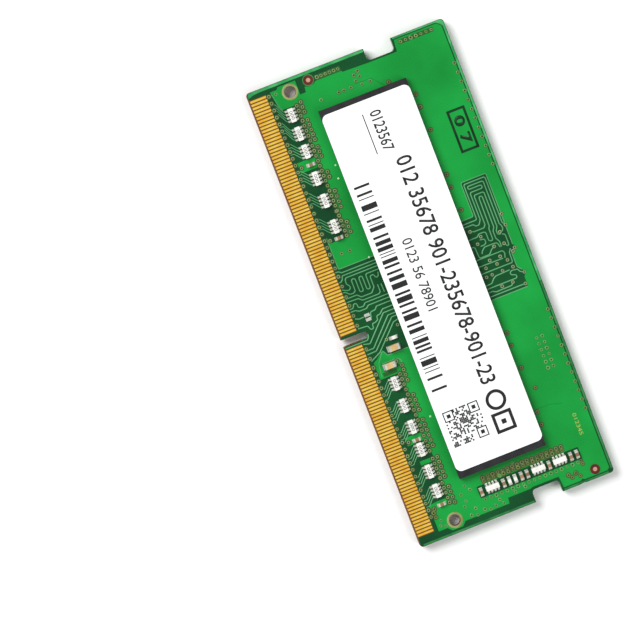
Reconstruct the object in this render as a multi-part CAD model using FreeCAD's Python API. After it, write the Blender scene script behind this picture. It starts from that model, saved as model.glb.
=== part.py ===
import FreeCAD, Part
import os

os.makedirs("parts", exist_ok=True)

# Small-outline memory module lying on its back face. X runs along the board from the
# pin 1 end, Y from the contact edge to the top edge, Z up through the front face.
# Everything below is in millimetres.

# Board
board_length = 69.6
board_width = 30.0
board_thickness = 1.2
mask_thickness = 0.03
corner_radius = 0.5
edge_bevel_depth = 0.15
edge_bevel_rise = 0.2

# Key notch between the two contact groups
key_centre = 38.1
key_width = 1.1
key_depth = 4.0

# Latch notches in the two ends, and the small nick left by the panel tab
latch_centre = 19.95
latch_height = 4.2
latch_depth = 1.85
latch_radius = 0.6
nick_centre = 25.3
nick_half_height = 0.35
nick_depth = 0.25

# Plated tooling holes and alignment dots
hole_radius = 0.85
hole_plating = 0.16
hole_ring_width = 0.09
mask_clearance = 0.1
hole_inset = 1.93
hole_height = 6.0
dot_radius = 0.45
dot_clearance = 0.4
dot_near = (1.3, 9.0)
dot_far = (68.3, 27.5)

# Edge contacts
contact_pitch = 0.5
contact_width = 0.35
contact_start = 0.2
contact_end = 2.6
contact_window_gap = 0.06
contact_window_side = 0.12
contact_thickness = mask_thickness
first_contact_inset = 1.35
last_contact_inset = 1.75
key_to_contact = 1.25
back_stagger = contact_pitch / 2

# Memory packages: solder balls, carrier, die and mould
chip_width = 7.5
chip_length = 13.3
chip_centre_height = 15.35
chip_row_centre = 34.1
outer_chip_offset = 24.4
inner_chip_offset = 12.15
ball_pitch = 0.8
ball_radius = 0.225
ball_stand = 0.34
ball_margin = 0.5
ball_columns_per_side = 3
carrier_thickness = 0.2
mould_thickness = 0.56
die_width = 5.4
die_length = 9.2
die_thickness = 0.22

# Label bridging the four packages
label_end_margin = 0.9
label_radius = 0.9
label_shift = -0.1
label_face_thickness = 0.08
label_glue_thickness = 0.03

# Configuration memory under the label
eeprom_width = 3.0
eeprom_length = 2.0
eeprom_height = 0.7
eeprom_land_length = 0.35
eeprom_land_width = 0.25
eeprom_land_pitch = 0.5
eeprom_land_height = 0.05

# Chip parts: four-way resistor arrays, small chips, bulk chips
part_height = 0.5
body_step = 0.02
array_length = 2.0
array_body_depth = 0.72
array_pitch = 0.5
array_tooth = 0.3
array_cap = 0.2
array_fillet = 0.22
chip_part_length = 1.0
chip_part_width = 0.5
chip_part_cap = 0.25
chip_part_fillet = 0.16
resistor_height = 0.35
bulk_length = 1.6
bulk_width = 0.85
bulk_cap = 0.35
bulk_fillet = 0.2
bulk_height_front = 0.8
spare_land_width = 0.45
spare_land_length = 0.8
spare_land_height = 0.06

# Placement stations, from the pin 1 end and from the contact edge
layout_length = 69.6
layout_width = 30.0
row_height = 5.05
row_arrays = (5.1, 7.9, 10.6, 14.7, 18.1, 22.0, 46.1, 49.5, 52.8, 56.3, 59.7, 62.7)
column_arrays_at = 65.15
front_column_arrays = (12.75, 19.85, 23.15)
back_column_arrays = (13.1, 16.6, 19.95, 23.25)
column_chips_at = 65.3
front_column_capacitors = (11.0, 14.45, 17.2, 18.1, 21.5, 24.85, 25.8)
front_column_resistors = (15.35, 16.25)
back_column_capacitors = (14.85, 18.3, 21.6, 25.0, 25.85)
front_row_capacitors = (12.6, 23.75, 54.8, 64.8)
back_row_capacitors = (20.2, 23.75, 58.0, 64.8)
front_bulk = ((43.4, 5.25), (41.2, 6.7))
front_resistor = (39.85, 7.2)
back_resistor = (43.9, 4.95)
back_row_bulk = (25.1, 5.5)
back_column_bulk = (65.05, 10.6)
back_lone_capacitor = (65.7, 8.95)
spare_lands_front = ((35.5, 4.8), (36.15, 4.8))
spare_lands_back = ((35.5, 4.8), (36.15, 4.8))
site_clearance = 0.7
site_far_capacitors = (11.0, 12.95, 16.1, 17.9, 19.6)
last_site_far_capacitors = (10.25, 16.0, 17.9)
site_near_capacitors = (9.75, 11.4, 14.75, 16.5, 21.0)
site_near_resistor = 13.05
first_site_resistor = 18.75

# Levels through the stack, measured up from the underside of the back parts
back_level = part_height
front_level = back_level + board_thickness
laminate_low = back_level + mask_thickness
laminate_high = front_level - mask_thickness
ball_top = front_level + ball_stand
carrier_top = ball_top + carrier_thickness
mould_top = carrier_top + mould_thickness
glue_top = mould_top + label_glue_thickness

origin = FreeCAD.Vector(0, 0, 0)
along_x = FreeCAD.Vector(1, 0, 0)
along_z = FreeCAD.Vector(0, 0, 1)


def atX(station):
    return station * board_length / layout_length - board_length / 2


def atY(station):
    return station * board_width / layout_width - board_width / 2


def boxBetween(x0, x1, y0, y1, z0, z1):
    return Part.makeBox(x1 - x0, y1 - y0, z1 - z0, FreeCAD.Vector(x0, y0, z0))


def roundedBox(x0, x1, y0, y1, z0, z1, radius):
    block = boxBetween(x0, x1, y0, y1, z0, z1)
    upright = []
    for edge in block.Edges:
        rise = edge.Vertexes[0].Point - edge.Vertexes[1].Point
        if abs(rise.z) > abs(rise.x) + abs(rise.y):
            upright.append(edge)
    return block.makeFillet(radius, upright)


def disc(x, y, z0, z1, radius):
    return Part.makeCylinder(radius, z1 - z0, FreeCAD.Vector(x, y, z0), along_z)


def prismAlongX(points, x0, x1):
    # A closed outline in Y and Z, drawn out from x0 to x1.
    corners = [FreeCAD.Vector(x0, y, z) for y, z in points]
    outline = Part.makePolygon(corners + [corners[0]])
    return Part.Face(outline).extrude(FreeCAD.Vector(x1 - x0, 0, 0))


def saveNode(name, solids):
    shape = solids[0] if len(solids) == 1 else Part.makeCompound(solids)
    shape.exportStep("parts/" + name + ".step")
    print(name, len(solids), "solid(s)")


left_end = -board_length / 2
right_end = board_length / 2
contact_edge = -board_width / 2
top_edge = board_width / 2
# Stations along the contact edge do not stretch with the board width.
hole_y = contact_edge + hole_height
hole_places = [(left_end + hole_inset, hole_y), (right_end - hole_inset, hole_y)]
dot_places = [(atX(dot_near[0]), atY(dot_near[1])), (atX(dot_far[0]), atY(dot_far[1]))]
overrun = 1.0
sleeve_radius = hole_radius + hole_plating
ring_radius = sleeve_radius + hole_ring_width


def boardSlab(z0, z1):
    slab = roundedBox(left_end, right_end, contact_edge, top_edge, z0, z1, corner_radius)
    low = z0 - overrun
    high = z1 + overrun
    key_x = atX(key_centre)
    key_top = contact_edge + key_depth - key_width / 2
    cutters = [
        boxBetween(key_x - key_width / 2, key_x + key_width / 2, contact_edge - overrun, key_top, low, high),
        disc(key_x, key_top, low, high, key_width / 2),
    ]
    latch_low = atY(latch_centre) - latch_height / 2
    latch_high = atY(latch_centre) + latch_height / 2
    for inner, outer in ((left_end + latch_depth, left_end - 2 * overrun),
                         (right_end - latch_depth, right_end + 2 * overrun)):
        x0 = min(inner, outer)
        x1 = max(inner, outer)
        cutters.append(roundedBox(x0, x1, latch_low, latch_high, low, high, latch_radius))
    nick_y = atY(nick_centre)
    nick = [
        FreeCAD.Vector(right_end - nick_depth, nick_y, low),
        FreeCAD.Vector(right_end + nick_depth, nick_y - 2 * nick_half_height, low),
        FreeCAD.Vector(right_end + nick_depth, nick_y + 2 * nick_half_height, low),
    ]
    nick_face = Part.Face(Part.makePolygon(nick + [nick[0]]))
    cutters.append(nick_face.extrude(FreeCAD.Vector(0, 0, high - low)))
    # The contact edge is bevelled on both faces.
    for face, inward in ((front_level, -1), (back_level, 1)):
        bevel = [
            (contact_edge - edge_bevel_depth, face + inward * 2 * edge_bevel_rise),
            (contact_edge + edge_bevel_depth, face),
            (contact_edge + edge_bevel_depth, face - inward * edge_bevel_rise),
            (contact_edge - edge_bevel_depth, face - inward * edge_bevel_rise),
        ]
        cutters.append(prismAlongX(bevel, left_end - overrun, right_end + overrun))
    return slab.cut(cutters)


def contactStations(on_back):
    # As many contacts as fit on each side of the key notch.
    shift = back_stagger if on_back else 0.0
    key_x = atX(key_centre)
    groups = []
    for first, limit in ((left_end + first_contact_inset, key_x - key_to_contact),
                         (key_x + key_to_contact, right_end - last_contact_inset)):
        count = int((limit - first) / contact_pitch + 0.001) + 1
        groups.append([first + shift + index * contact_pitch for index in range(count)])
    return groups


def contactGroup(centres, z0, z1):
    half = contact_width / 2
    low = contact_edge + contact_start
    high = contact_edge + contact_end
    return [boxBetween(x - half, x + half, low, high, z0, z1) for x in centres]


def maskSkin(on_back):
    z0 = back_level if on_back else laminate_high
    z1 = laminate_low if on_back else front_level
    skin = boardSlab(z0, z1)
    cutters = []
    for centres in contactStations(on_back):
        x0 = centres[0] - contact_width / 2 - contact_window_side
        x1 = centres[-1] + contact_width / 2 + contact_window_side
        y1 = contact_edge + contact_end + contact_window_gap
        cutters.append(boxBetween(x0, x1, contact_edge - overrun, y1, z0 - overrun, z1 + overrun))
    for x, y in hole_places:
        cutters.append(disc(x, y, z0 - overrun, z1 + overrun, ring_radius + mask_clearance))
    for x, y in dot_places:
        cutters.append(disc(x, y, z0 - overrun, z1 + overrun, dot_radius + dot_clearance))
    return skin.cut(cutters)


# Board pieces
laminate = boardSlab(laminate_low, laminate_high)
laminate = laminate.cut([disc(x, y, 0, front_level + overrun, sleeve_radius) for x, y in hole_places])
saveNode("board_laminate", [laminate])
saveNode("mask_front", [maskSkin(False)])
saveNode("mask_back", [maskSkin(True)])

sleeves = []
for x, y in hole_places:
    barrel = disc(x, y, back_level, front_level, sleeve_radius)
    front_ring = disc(x, y, laminate_high, front_level, ring_radius)
    back_ring = disc(x, y, back_level, laminate_low, ring_radius)
    sleeve = barrel.fuse([front_ring, back_ring])
    sleeves.append(sleeve.cut(disc(x, y, 0, front_level + overrun, hole_radius)))
saveNode("hole_sleeves", sleeves)

saveNode("dots_front", [disc(x, y, laminate_high, front_level, dot_radius) for x, y in dot_places])
saveNode("dots_back", [disc(x, y, back_level, laminate_low, dot_radius) for x, y in dot_places])

front_long, front_short = contactStations(False)
back_long, back_short = contactStations(True)
saveNode("contacts_front_long", contactGroup(front_long, laminate_high, laminate_high + contact_thickness))
saveNode("contacts_front_short", contactGroup(front_short, laminate_high, laminate_high + contact_thickness))
saveNode("contacts_back_long", contactGroup(back_long, laminate_low - contact_thickness, laminate_low))
saveNode("contacts_back_short", contactGroup(back_short, laminate_low - contact_thickness, laminate_low))

# Memory packages
package_y = atY(chip_centre_height)
package_places = [atX(chip_row_centre + offset) for offset in
                  (-outer_chip_offset, -inner_chip_offset, inner_chip_offset, outer_chip_offset)]
# A solder ball squashed between two lands: a sphere cut off above and below.
ball_half = ball_stand / 2
ball_rows = int((chip_length - 2 * ball_margin) / ball_pitch) + 1
outer_column = int((chip_width / 2 - ball_margin) / ball_pitch)
ball_columns = [side * (outer_column - inward) for side in (-1, 1) for inward in range(ball_columns_per_side)]
for number, x in enumerate(package_places, 1):
    name = "memory" + str(number)
    x0 = x - chip_width / 2
    x1 = x + chip_width / 2
    y0 = package_y - chip_length / 2
    y1 = package_y + chip_length / 2
    balls = []
    for column in ball_columns:
        for row in range(ball_rows):
            centre = FreeCAD.Vector(x + column * ball_pitch,
                                    package_y + (row - (ball_rows - 1) / 2) * ball_pitch,
                                    front_level + ball_half)
            round_ball = Part.makeSphere(ball_radius, centre)
            limit = boxBetween(centre.x - 1, centre.x + 1, centre.y - 1, centre.y + 1, front_level, ball_top)
            balls.append(round_ball.common(limit))
    saveNode(name + "_balls", balls)
    saveNode(name + "_carrier", [boxBetween(x0, x1, y0, y1, ball_top, carrier_top)])
    die = boxBetween(x - die_width / 2, x + die_width / 2, package_y - die_length / 2,
                     package_y + die_length / 2, carrier_top, carrier_top + die_thickness)
    saveNode(name + "_die", [die])
    mould = boxBetween(x0, x1, y0, y1, carrier_top, mould_top)
    saveNode(name + "_mould", [mould.cut(die)])

# Label
label_reach = chip_width / 2 - label_end_margin
label_sides = (package_places[0] - label_reach + label_shift, package_places[-1] + label_reach + label_shift,
               package_y - chip_length / 2, package_y + chip_length / 2)
saveNode("label_glue", [roundedBox(*label_sides, mould_top, glue_top, label_radius)])
saveNode("label_face", [roundedBox(*label_sides, glue_top, glue_top + label_face_thickness, label_radius)])

# Configuration memory, on eight flat lands under the label
eeprom_x = atX(chip_row_centre)
eeprom_low = front_level + eeprom_land_height
saveNode("eeprom_body", [boxBetween(eeprom_x - eeprom_width / 2, eeprom_x + eeprom_width / 2,
                                    package_y - eeprom_length / 2, package_y + eeprom_length / 2,
                                    eeprom_low, front_level + eeprom_height)])
lands = []
for side in (-1, 1):
    for index in range(4):
        x = eeprom_x + side * (eeprom_width / 2 - eeprom_land_length / 2)
        y = package_y + (index - 1.5) * eeprom_land_pitch
        lands.append(boxBetween(x - eeprom_land_length / 2, x + eeprom_land_length / 2,
                                y - eeprom_land_width / 2, y + eeprom_land_width / 2,
                                front_level, eeprom_low))
saveNode("eeprom_lands", lands)


def solderedEnd(start, cap, fillet, width, height, y):
    # An end cap and its solder fillet in one outline, running out along +X from start.
    outer = start + cap
    points = [
        FreeCAD.Vector(start, y - width / 2, 0),
        FreeCAD.Vector(start, y - width / 2, height),
        FreeCAD.Vector(outer, y - width / 2, height),
        FreeCAD.Vector(outer, y - width / 2, height * 0.6),
        FreeCAD.Vector(outer + fillet * 0.3, y - width / 2, height * 0.26),
        FreeCAD.Vector(outer + fillet, y - width / 2, height * 0.08),
        FreeCAD.Vector(outer + fillet, y - width / 2, 0),
    ]
    face = Part.Face(Part.makePolygon(points + [points[0]]))
    return face.extrude(FreeCAD.Vector(0, width, 0))


def bothEnds(end):
    other = end.copy()
    other.rotate(origin, along_z, 180)
    return [end, other]


def placeOn(solids, x, y, turn, on_back):
    placed = []
    for solid in solids:
        moved = solid.copy()
        moved.rotate(origin, along_z, turn)
        if on_back:
            moved.rotate(origin, along_x, 180)
        moved.translate(FreeCAD.Vector(x, y, back_level if on_back else front_level))
        placed.append(moved)
    return placed


def chipPart(length, width, cap, fillet, height):
    # A two-terminal chip lying along X: the body between its two end caps.
    half = length / 2 - cap
    side = width / 2 - body_step / 2
    body = boxBetween(-half, half, -side, side, body_step, height)
    return [body], bothEnds(solderedEnd(half, cap, fillet, width, height, 0))


def arrayPart():
    # Four resistors in one body lying along Y, with four soldered ends on each side.
    half = array_body_depth / 2
    body = boxBetween(-half, half, -array_length / 2, array_length / 2, body_step, part_height)
    ends = []
    for index in range(4):
        y = (index - 1.5) * array_pitch
        ends += bothEnds(solderedEnd(half, array_cap, array_fillet, array_tooth, part_height, y))
    return [body], ends


array = arrayPart()
small = chipPart(chip_part_length, chip_part_width, chip_part_cap, chip_part_fillet, part_height)
resistor = chipPart(chip_part_length, chip_part_width, chip_part_cap, chip_part_fillet, resistor_height)
bulk_low = chipPart(bulk_length, bulk_width, bulk_cap, bulk_fillet, part_height)
bulk_tall = chipPart(bulk_length, bulk_width, bulk_cap, bulk_fillet, bulk_height_front)

row_y = contact_edge + row_height


def rowPlace(station):
    # A place given along the contact edge, at its own height above that edge.
    return atX(station[0]), contact_edge + station[1]


def saveParts(name, part, places, on_back):
    bodies = []
    ends = []
    for x, y, turn in places:
        bodies += placeOn(part[0], x, y, turn, on_back)
        ends += placeOn(part[1], x, y, turn, on_back)
    saveNode(name + "_bodies", bodies)
    saveNode(name + "_ends", ends)


array_x = atX(column_arrays_at)
column_x = atX(column_chips_at)
row_places = [(atX(x), row_y, 90) for x in row_arrays]
saveParts("arrays_front", array, row_places + [(array_x, atY(y), 0) for y in front_column_arrays], False)
saveParts("arrays_back", array, row_places + [(array_x, atY(y), 0) for y in back_column_arrays], True)

front_capacitor_places = [(atX(x), row_y, 90) for x in front_row_capacitors]
front_capacitor_places += [(column_x, atY(y), 0) for y in front_column_capacitors]
saveParts("capacitors_front", small, front_capacitor_places, False)

front_resistor_places = [(column_x, atY(y), 0) for y in front_column_resistors]
front_resistor_places.append((*rowPlace(front_resistor), 90))
saveParts("resistors_front", resistor, front_resistor_places, False)

saveParts("bulk_front", bulk_tall, [(*rowPlace(place), 90) for place in front_bulk], False)

back_capacitor_places = [(atX(x), row_y, 90) for x in back_row_capacitors]
back_capacitor_places += [(column_x, atY(y), 0) for y in back_column_capacitors]
back_capacitor_places.append((atX(back_lone_capacitor[0]), atY(back_lone_capacitor[1]), 90))
saveParts("capacitors_back", small, back_capacitor_places, True)

saveParts("bulk_back", bulk_low, [(*rowPlace(back_row_bulk), 90),
                                  (atX(back_column_bulk[0]), atY(back_column_bulk[1]), 0)], True)

# Decoupling capacitors under each memory package, the same pattern at every site
site_side = chip_width / 2 + site_clearance
decoupler_places = []
back_resistor_places = [(*rowPlace(back_resistor), 90)]
for number, x in enumerate(package_places):
    far_stations = last_site_far_capacitors if number == 3 else site_far_capacitors
    decoupler_places += [(x + site_side, atY(y), 90) for y in far_stations]
    decoupler_places += [(x - site_side, atY(y), 90) for y in site_near_capacitors]
    back_resistor_places.append((x - site_side, atY(site_near_resistor), 90))
back_resistor_places.append((package_places[0] - site_side, atY(first_site_resistor), 90))
saveParts("decouplers_back", small, decoupler_places, True)
saveParts("resistors_back", resistor, back_resistor_places, True)

# Tinned lands left empty beside the key notch
spare = [boxBetween(-spare_land_width / 2, spare_land_width / 2, -spare_land_length / 2,
                    spare_land_length / 2, 0, spare_land_height)]
spares = []
for place in spare_lands_front:
    spares += placeOn(spare, *rowPlace(place), 0, False)
for place in spare_lands_back:
    spares += placeOn(spare, *rowPlace(place), 0, True)
saveNode("spare_lands", spares)
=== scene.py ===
import math
import random
import bmesh
import bpy
from mathutils import Matrix, Vector


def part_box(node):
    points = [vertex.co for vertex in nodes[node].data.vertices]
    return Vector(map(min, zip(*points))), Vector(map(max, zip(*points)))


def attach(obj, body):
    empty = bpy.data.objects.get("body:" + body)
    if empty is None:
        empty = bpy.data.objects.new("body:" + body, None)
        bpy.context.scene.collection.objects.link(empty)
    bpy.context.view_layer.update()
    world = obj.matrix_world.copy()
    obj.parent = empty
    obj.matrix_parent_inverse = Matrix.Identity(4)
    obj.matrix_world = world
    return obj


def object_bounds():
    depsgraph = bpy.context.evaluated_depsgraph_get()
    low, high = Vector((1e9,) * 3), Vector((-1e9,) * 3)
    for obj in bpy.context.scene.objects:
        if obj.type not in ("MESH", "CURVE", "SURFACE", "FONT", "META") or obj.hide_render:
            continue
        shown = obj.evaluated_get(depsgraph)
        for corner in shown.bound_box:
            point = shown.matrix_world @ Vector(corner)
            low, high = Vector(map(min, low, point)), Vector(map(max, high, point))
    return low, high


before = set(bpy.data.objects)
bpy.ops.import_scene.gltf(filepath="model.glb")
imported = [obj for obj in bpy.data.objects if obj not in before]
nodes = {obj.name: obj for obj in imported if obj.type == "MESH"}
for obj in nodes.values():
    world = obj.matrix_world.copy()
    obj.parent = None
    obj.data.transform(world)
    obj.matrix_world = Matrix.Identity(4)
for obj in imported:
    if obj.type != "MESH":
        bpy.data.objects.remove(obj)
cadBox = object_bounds()
mm = 0.001
grainDepth = 0.02 * mm  # depth of the fine bump in most finishes

boardLow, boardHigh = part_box("board_laminate")
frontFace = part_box("mask_front")[1].z
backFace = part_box("mask_back")[0].z
boardLength = (boardHigh.x - boardLow.x) / mm
boardWidth = (boardHigh.y - boardLow.y) / mm
print("frame loaded:", len(nodes), "nodes, board", round(boardLength, 2), "by", round(boardWidth, 2), "mm")


def place(x, y, behind=False):
    # Board millimetres to metres. Behind, x is counted from the far end, as seen from the back.
    across = boardHigh.x - x * mm if behind else boardLow.x + x * mm
    return across, boardLow.y + y * mm


def facing(behind):
    # The height of the face that a piece lies on, and which way is out from it.
    return (backFace, -1) if behind else (frontFace, 1)


def tone(red, green, blue):
    # A screen colour, 0 to 255 a channel, as the linear colour that shaders take.
    def linear(value):
        value = value / 255
        return value / 12.92 if value <= 0.04045 else ((value + 0.055) / 1.055) ** 2.4
    return linear(red), linear(green), linear(blue), 1.0


# Shader groups shared by the materials

def shaderGroup(name, inputs, outputs):
    group = bpy.data.node_groups.new(name, "ShaderNodeTree")
    for label, value in inputs:
        socket = group.interface.new_socket(label, in_out="INPUT", socket_type="NodeSocketFloat")
        socket.default_value = value
    for label in outputs:
        group.interface.new_socket(label, in_out="OUTPUT", socket_type="NodeSocketFloat")
    return group, group.nodes.new("NodeGroupInput"), group.nodes.new("NodeGroupOutput")


def buildCloud():
    # Soft patches and fine grain over the surface, both from 0 to 1.
    group, start, end = shaderGroup("cloud", [("Patch Scale", 150), ("Grain Scale", 6000)],
                                    ["Patch", "Grain"])
    where = group.nodes.new("ShaderNodeTexCoord")
    for label, source, detail in (("Patch", "Patch Scale", 3), ("Grain", "Grain Scale", 2)):
        noise = group.nodes.new("ShaderNodeTexNoise")
        noise.inputs["Detail"].default_value = detail
        group.links.new(where.outputs["Object"], noise.inputs["Vector"])
        group.links.new(start.outputs[source], noise.inputs["Scale"])
        group.links.new(noise.outputs["Fac"], end.inputs[label])
    return group


def buildWeave():
    # The glass cloth in the laminate: two sets of threads crossing.
    group, start, end = shaderGroup("weave", [("Threads", 1500)], ["Height"])
    where = group.nodes.new("ShaderNodeTexCoord")
    waves = []
    for direction in ("X", "Y"):
        wave = group.nodes.new("ShaderNodeTexWave")
        wave.bands_direction = direction
        wave.inputs["Distortion"].default_value = 0.6
        wave.inputs["Detail Scale"].default_value = 0.4
        group.links.new(where.outputs["Object"], wave.inputs["Vector"])
        group.links.new(start.outputs["Threads"], wave.inputs["Scale"])
        waves.append(wave)
    cross = group.nodes.new("ShaderNodeMath")
    cross.operation = "MULTIPLY"
    group.links.new(waves[0].outputs["Fac"], cross.inputs[0])
    group.links.new(waves[1].outputs["Fac"], cross.inputs[1])
    group.links.new(cross.outputs[0], end.inputs["Height"])
    return group


cloudGroup = buildCloud()
weaveGroup = buildWeave()


def newMaterial(name, roughness, metallic=0.0, coat=0.0, specular=0.5):
    material = bpy.data.materials.new(name)
    material.use_nodes = True
    shader = material.node_tree.nodes["Principled BSDF"]
    shader.inputs["Roughness"].default_value = roughness
    shader.inputs["Metallic"].default_value = metallic
    shader.inputs["Coat Weight"].default_value = coat
    shader.inputs["Specular IOR Level"].default_value = specular
    return material, material.node_tree, shader


def addNode(tree, kind, **values):
    node = tree.nodes.new(kind)
    for label, value in values.items():
        setattr(node, label, value)
    return node


def mixColour(tree, factor, first, second):
    # A colour mix. Each colour is a fixed value or a socket.
    mix = addNode(tree, "ShaderNodeMix", data_type="RGBA")
    tree.links.new(factor, mix.inputs[0])
    for slot, colour in ((6, first), (7, second)):
        if isinstance(colour, tuple):
            mix.inputs[slot].default_value = colour
        else:
            tree.links.new(colour, mix.inputs[slot])
    return mix.outputs[2]


def mapRange(tree, source, low, high, toLow=0.0, toHigh=1.0):
    node = addNode(tree, "ShaderNodeMapRange", clamp=True)
    node.inputs["From Min"].default_value = low
    node.inputs["From Max"].default_value = high
    node.inputs["To Min"].default_value = toLow
    node.inputs["To Max"].default_value = toHigh
    tree.links.new(source, node.inputs["Value"])
    return node.outputs["Result"]


def addBump(tree, shader, cloud, strength, distance=grainDepth):
    bump = tree.nodes.new("ShaderNodeBump")
    bump.inputs["Strength"].default_value = strength
    bump.inputs["Distance"].default_value = distance
    tree.links.new(cloud.outputs["Grain"], bump.inputs["Height"])
    tree.links.new(bump.outputs["Normal"], shader.inputs["Normal"])


def addRoughness(tree, shader, cloud, low, high):
    rough = mapRange(tree, cloud.outputs["Grain"], 0.3, 0.7, low, high)
    tree.links.new(rough, shader.inputs["Roughness"])


def objectAxes(tree):
    where = tree.nodes.new("ShaderNodeTexCoord")
    split = tree.nodes.new("ShaderNodeSeparateXYZ")
    tree.links.new(where.outputs["Object"], split.inputs["Vector"])
    return split.outputs


def cloudNode(tree, patchScale, grainScale):
    cloud = addNode(tree, "ShaderNodeGroup", node_tree=cloudGroup)
    cloud.inputs["Patch Scale"].default_value = patchScale
    cloud.inputs["Grain Scale"].default_value = grainScale
    return cloud


def simpleMaterial(name, dark, light, roughness, metallic=0.0, coat=0.0, patchScale=400, grainScale=9000,
                   bump=0.2, specular=0.5):
    # Patches between two tones, with a roughness that wanders and a fine grain.
    material, tree, shader = newMaterial(name, roughness, metallic, coat, specular)
    cloud = cloudNode(tree, patchScale, grainScale)
    patch = mapRange(tree, cloud.outputs["Patch"], 0.35, 0.65)
    tree.links.new(mixColour(tree, patch, dark, light), shader.inputs["Base Color"])
    spread = 0.12
    addRoughness(tree, shader, cloud, max(0.05, roughness - spread), min(1.0, roughness + spread))
    addBump(tree, shader, cloud, bump)
    return material


maskLook = {
    "frontLaminate": (tone(0, 56, 26), tone(4, 80, 36)),
    "frontCopper": (tone(4, 132, 46), tone(16, 160, 62)),
    "frontTrace": (tone(66, 140, 84), tone(104, 172, 120)),
    "backLaminate": (tone(2, 12, 0), tone(10, 26, 4)),
    "backCopper": (tone(20, 156, 46), tone(50, 192, 76)),
    "backTrace": (tone(136, 158, 112), tone(166, 184, 146)),
}


def maskMaterial(name, tones, weaveDepth, gloss=0.25):
    # Green resist: a glossy coat over slightly uneven colour, with a hint of the cloth below.
    material, tree, shader = newMaterial(name, 0.32, coat=0.4 * gloss, specular=gloss)
    shader.inputs["Coat Roughness"].default_value = 0.12
    cloud = cloudNode(tree, 90, 5200)
    patch = mapRange(tree, cloud.outputs["Patch"], 0.3, 0.7)
    weave = addNode(tree, "ShaderNodeGroup", node_tree=weaveGroup)
    weave.inputs["Threads"].default_value = 1300
    colour = mixColour(tree, patch, tones[0], tones[1])
    shade = mapRange(tree, weave.outputs["Height"], 0.0, 1.0, 0.0, weaveDepth)
    colour = mixColour(tree, shade, colour, tones[1])
    tree.links.new(colour, shader.inputs["Base Color"])
    addRoughness(tree, shader, cloud, 0.24, 0.42)
    addBump(tree, shader, cloud, 0.05)
    return material


faceWeave = 0.12
maskMaterials = {name: maskMaterial(name, tones, faceWeave, 0.12 if name == "backLaminate" else 0.25)
                 for name, tones in maskLook.items()}


# plateau and rim set where the painted edge shade on each contact begins and where it is full.
contactLook = {"pitch": 0.5, "width": 0.35, "plateau": 0.25, "rim": 0.35}


def contactMaterial(name, start):
    # Gold plate, darker and browner towards the long edges of each contact: painted shade where each contact
    # meets the dark gap beside it.
    material, tree, shader = newMaterial(name, 0.34, metallic=0.55)
    pitch = contactLook["pitch"]
    origin = start - 100 * pitch * mm  # well left of the board, so that no remainder is negative
    steps = [("SUBTRACT", origin), ("DIVIDE", pitch * mm), ("FRACT", 0),
             ("SUBTRACT", contactLook["width"] / pitch / 2), ("ABSOLUTE", 0)]
    across = objectAxes(tree)["X"]
    for operation, value in steps:
        step = addNode(tree, "ShaderNodeMath", operation=operation)
        tree.links.new(across, step.inputs[0])
        step.inputs[1].default_value = value
        across = step.outputs[0]
    # The brown band along each long edge is painted shade beside the gaps between contacts.
    rim = mapRange(tree, across, contactLook["plateau"], contactLook["rim"])
    cloud = cloudNode(tree, 700, 12000)
    patch = mapRange(tree, cloud.outputs["Patch"], 0.35, 0.65)
    colour = mixColour(tree, patch, tone(252, 193, 56), tone(255, 220, 92))
    colour = mixColour(tree, rim, colour, tone(210, 134, 28))
    tree.links.new(colour, shader.inputs["Base Color"])
    addRoughness(tree, shader, cloud, 0.24, 0.44)
    addBump(tree, shader, cloud, 0.15)
    return material


frontGold = contactMaterial("frontGold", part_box("contacts_front_long")[0].x)
backGold = contactMaterial("backGold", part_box("contacts_back_long")[0].x)
sleeveLook = {"copperEnd": (0.3, 0.8), "rimStart": (0.06, 0.02)}


def buildSleeve():
    # Plated hole: pale olive rim in front, a dull olive barrel darkened as painted shade inside the hole,
    # copper brown behind.
    material, tree, shader = newMaterial("holeSleeve", 0.38, metallic=0.3)
    height = objectAxes(tree)["Z"]
    cloud = cloudNode(tree, 700, 9000)
    # The barrel's dull dark olive is painted shade inside the hole.
    shadedBarrel = mixColour(tree, cloud.outputs["Patch"], tone(84, 76, 40), tone(122, 112, 66))
    copper = mixColour(tree, cloud.outputs["Patch"], tone(90, 50, 30), tone(140, 86, 56))
    rim = mixColour(tree, cloud.outputs["Patch"], tone(140, 142, 84), tone(178, 180, 122))
    copperLow, copperHigh = (backFace + depth * mm for depth in sleeveLook["copperEnd"])
    rimLow, rimHigh = (frontFace - depth * mm for depth in sleeveLook["rimStart"])
    colour = mixColour(tree, mapRange(tree, height, copperLow, copperHigh), copper, shadedBarrel)
    colour = mixColour(tree, mapRange(tree, height, rimLow, rimHigh), colour, rim)
    tree.links.new(colour, shader.inputs["Base Color"])
    addBump(tree, shader, cloud, 0.3)
    return material


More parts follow.
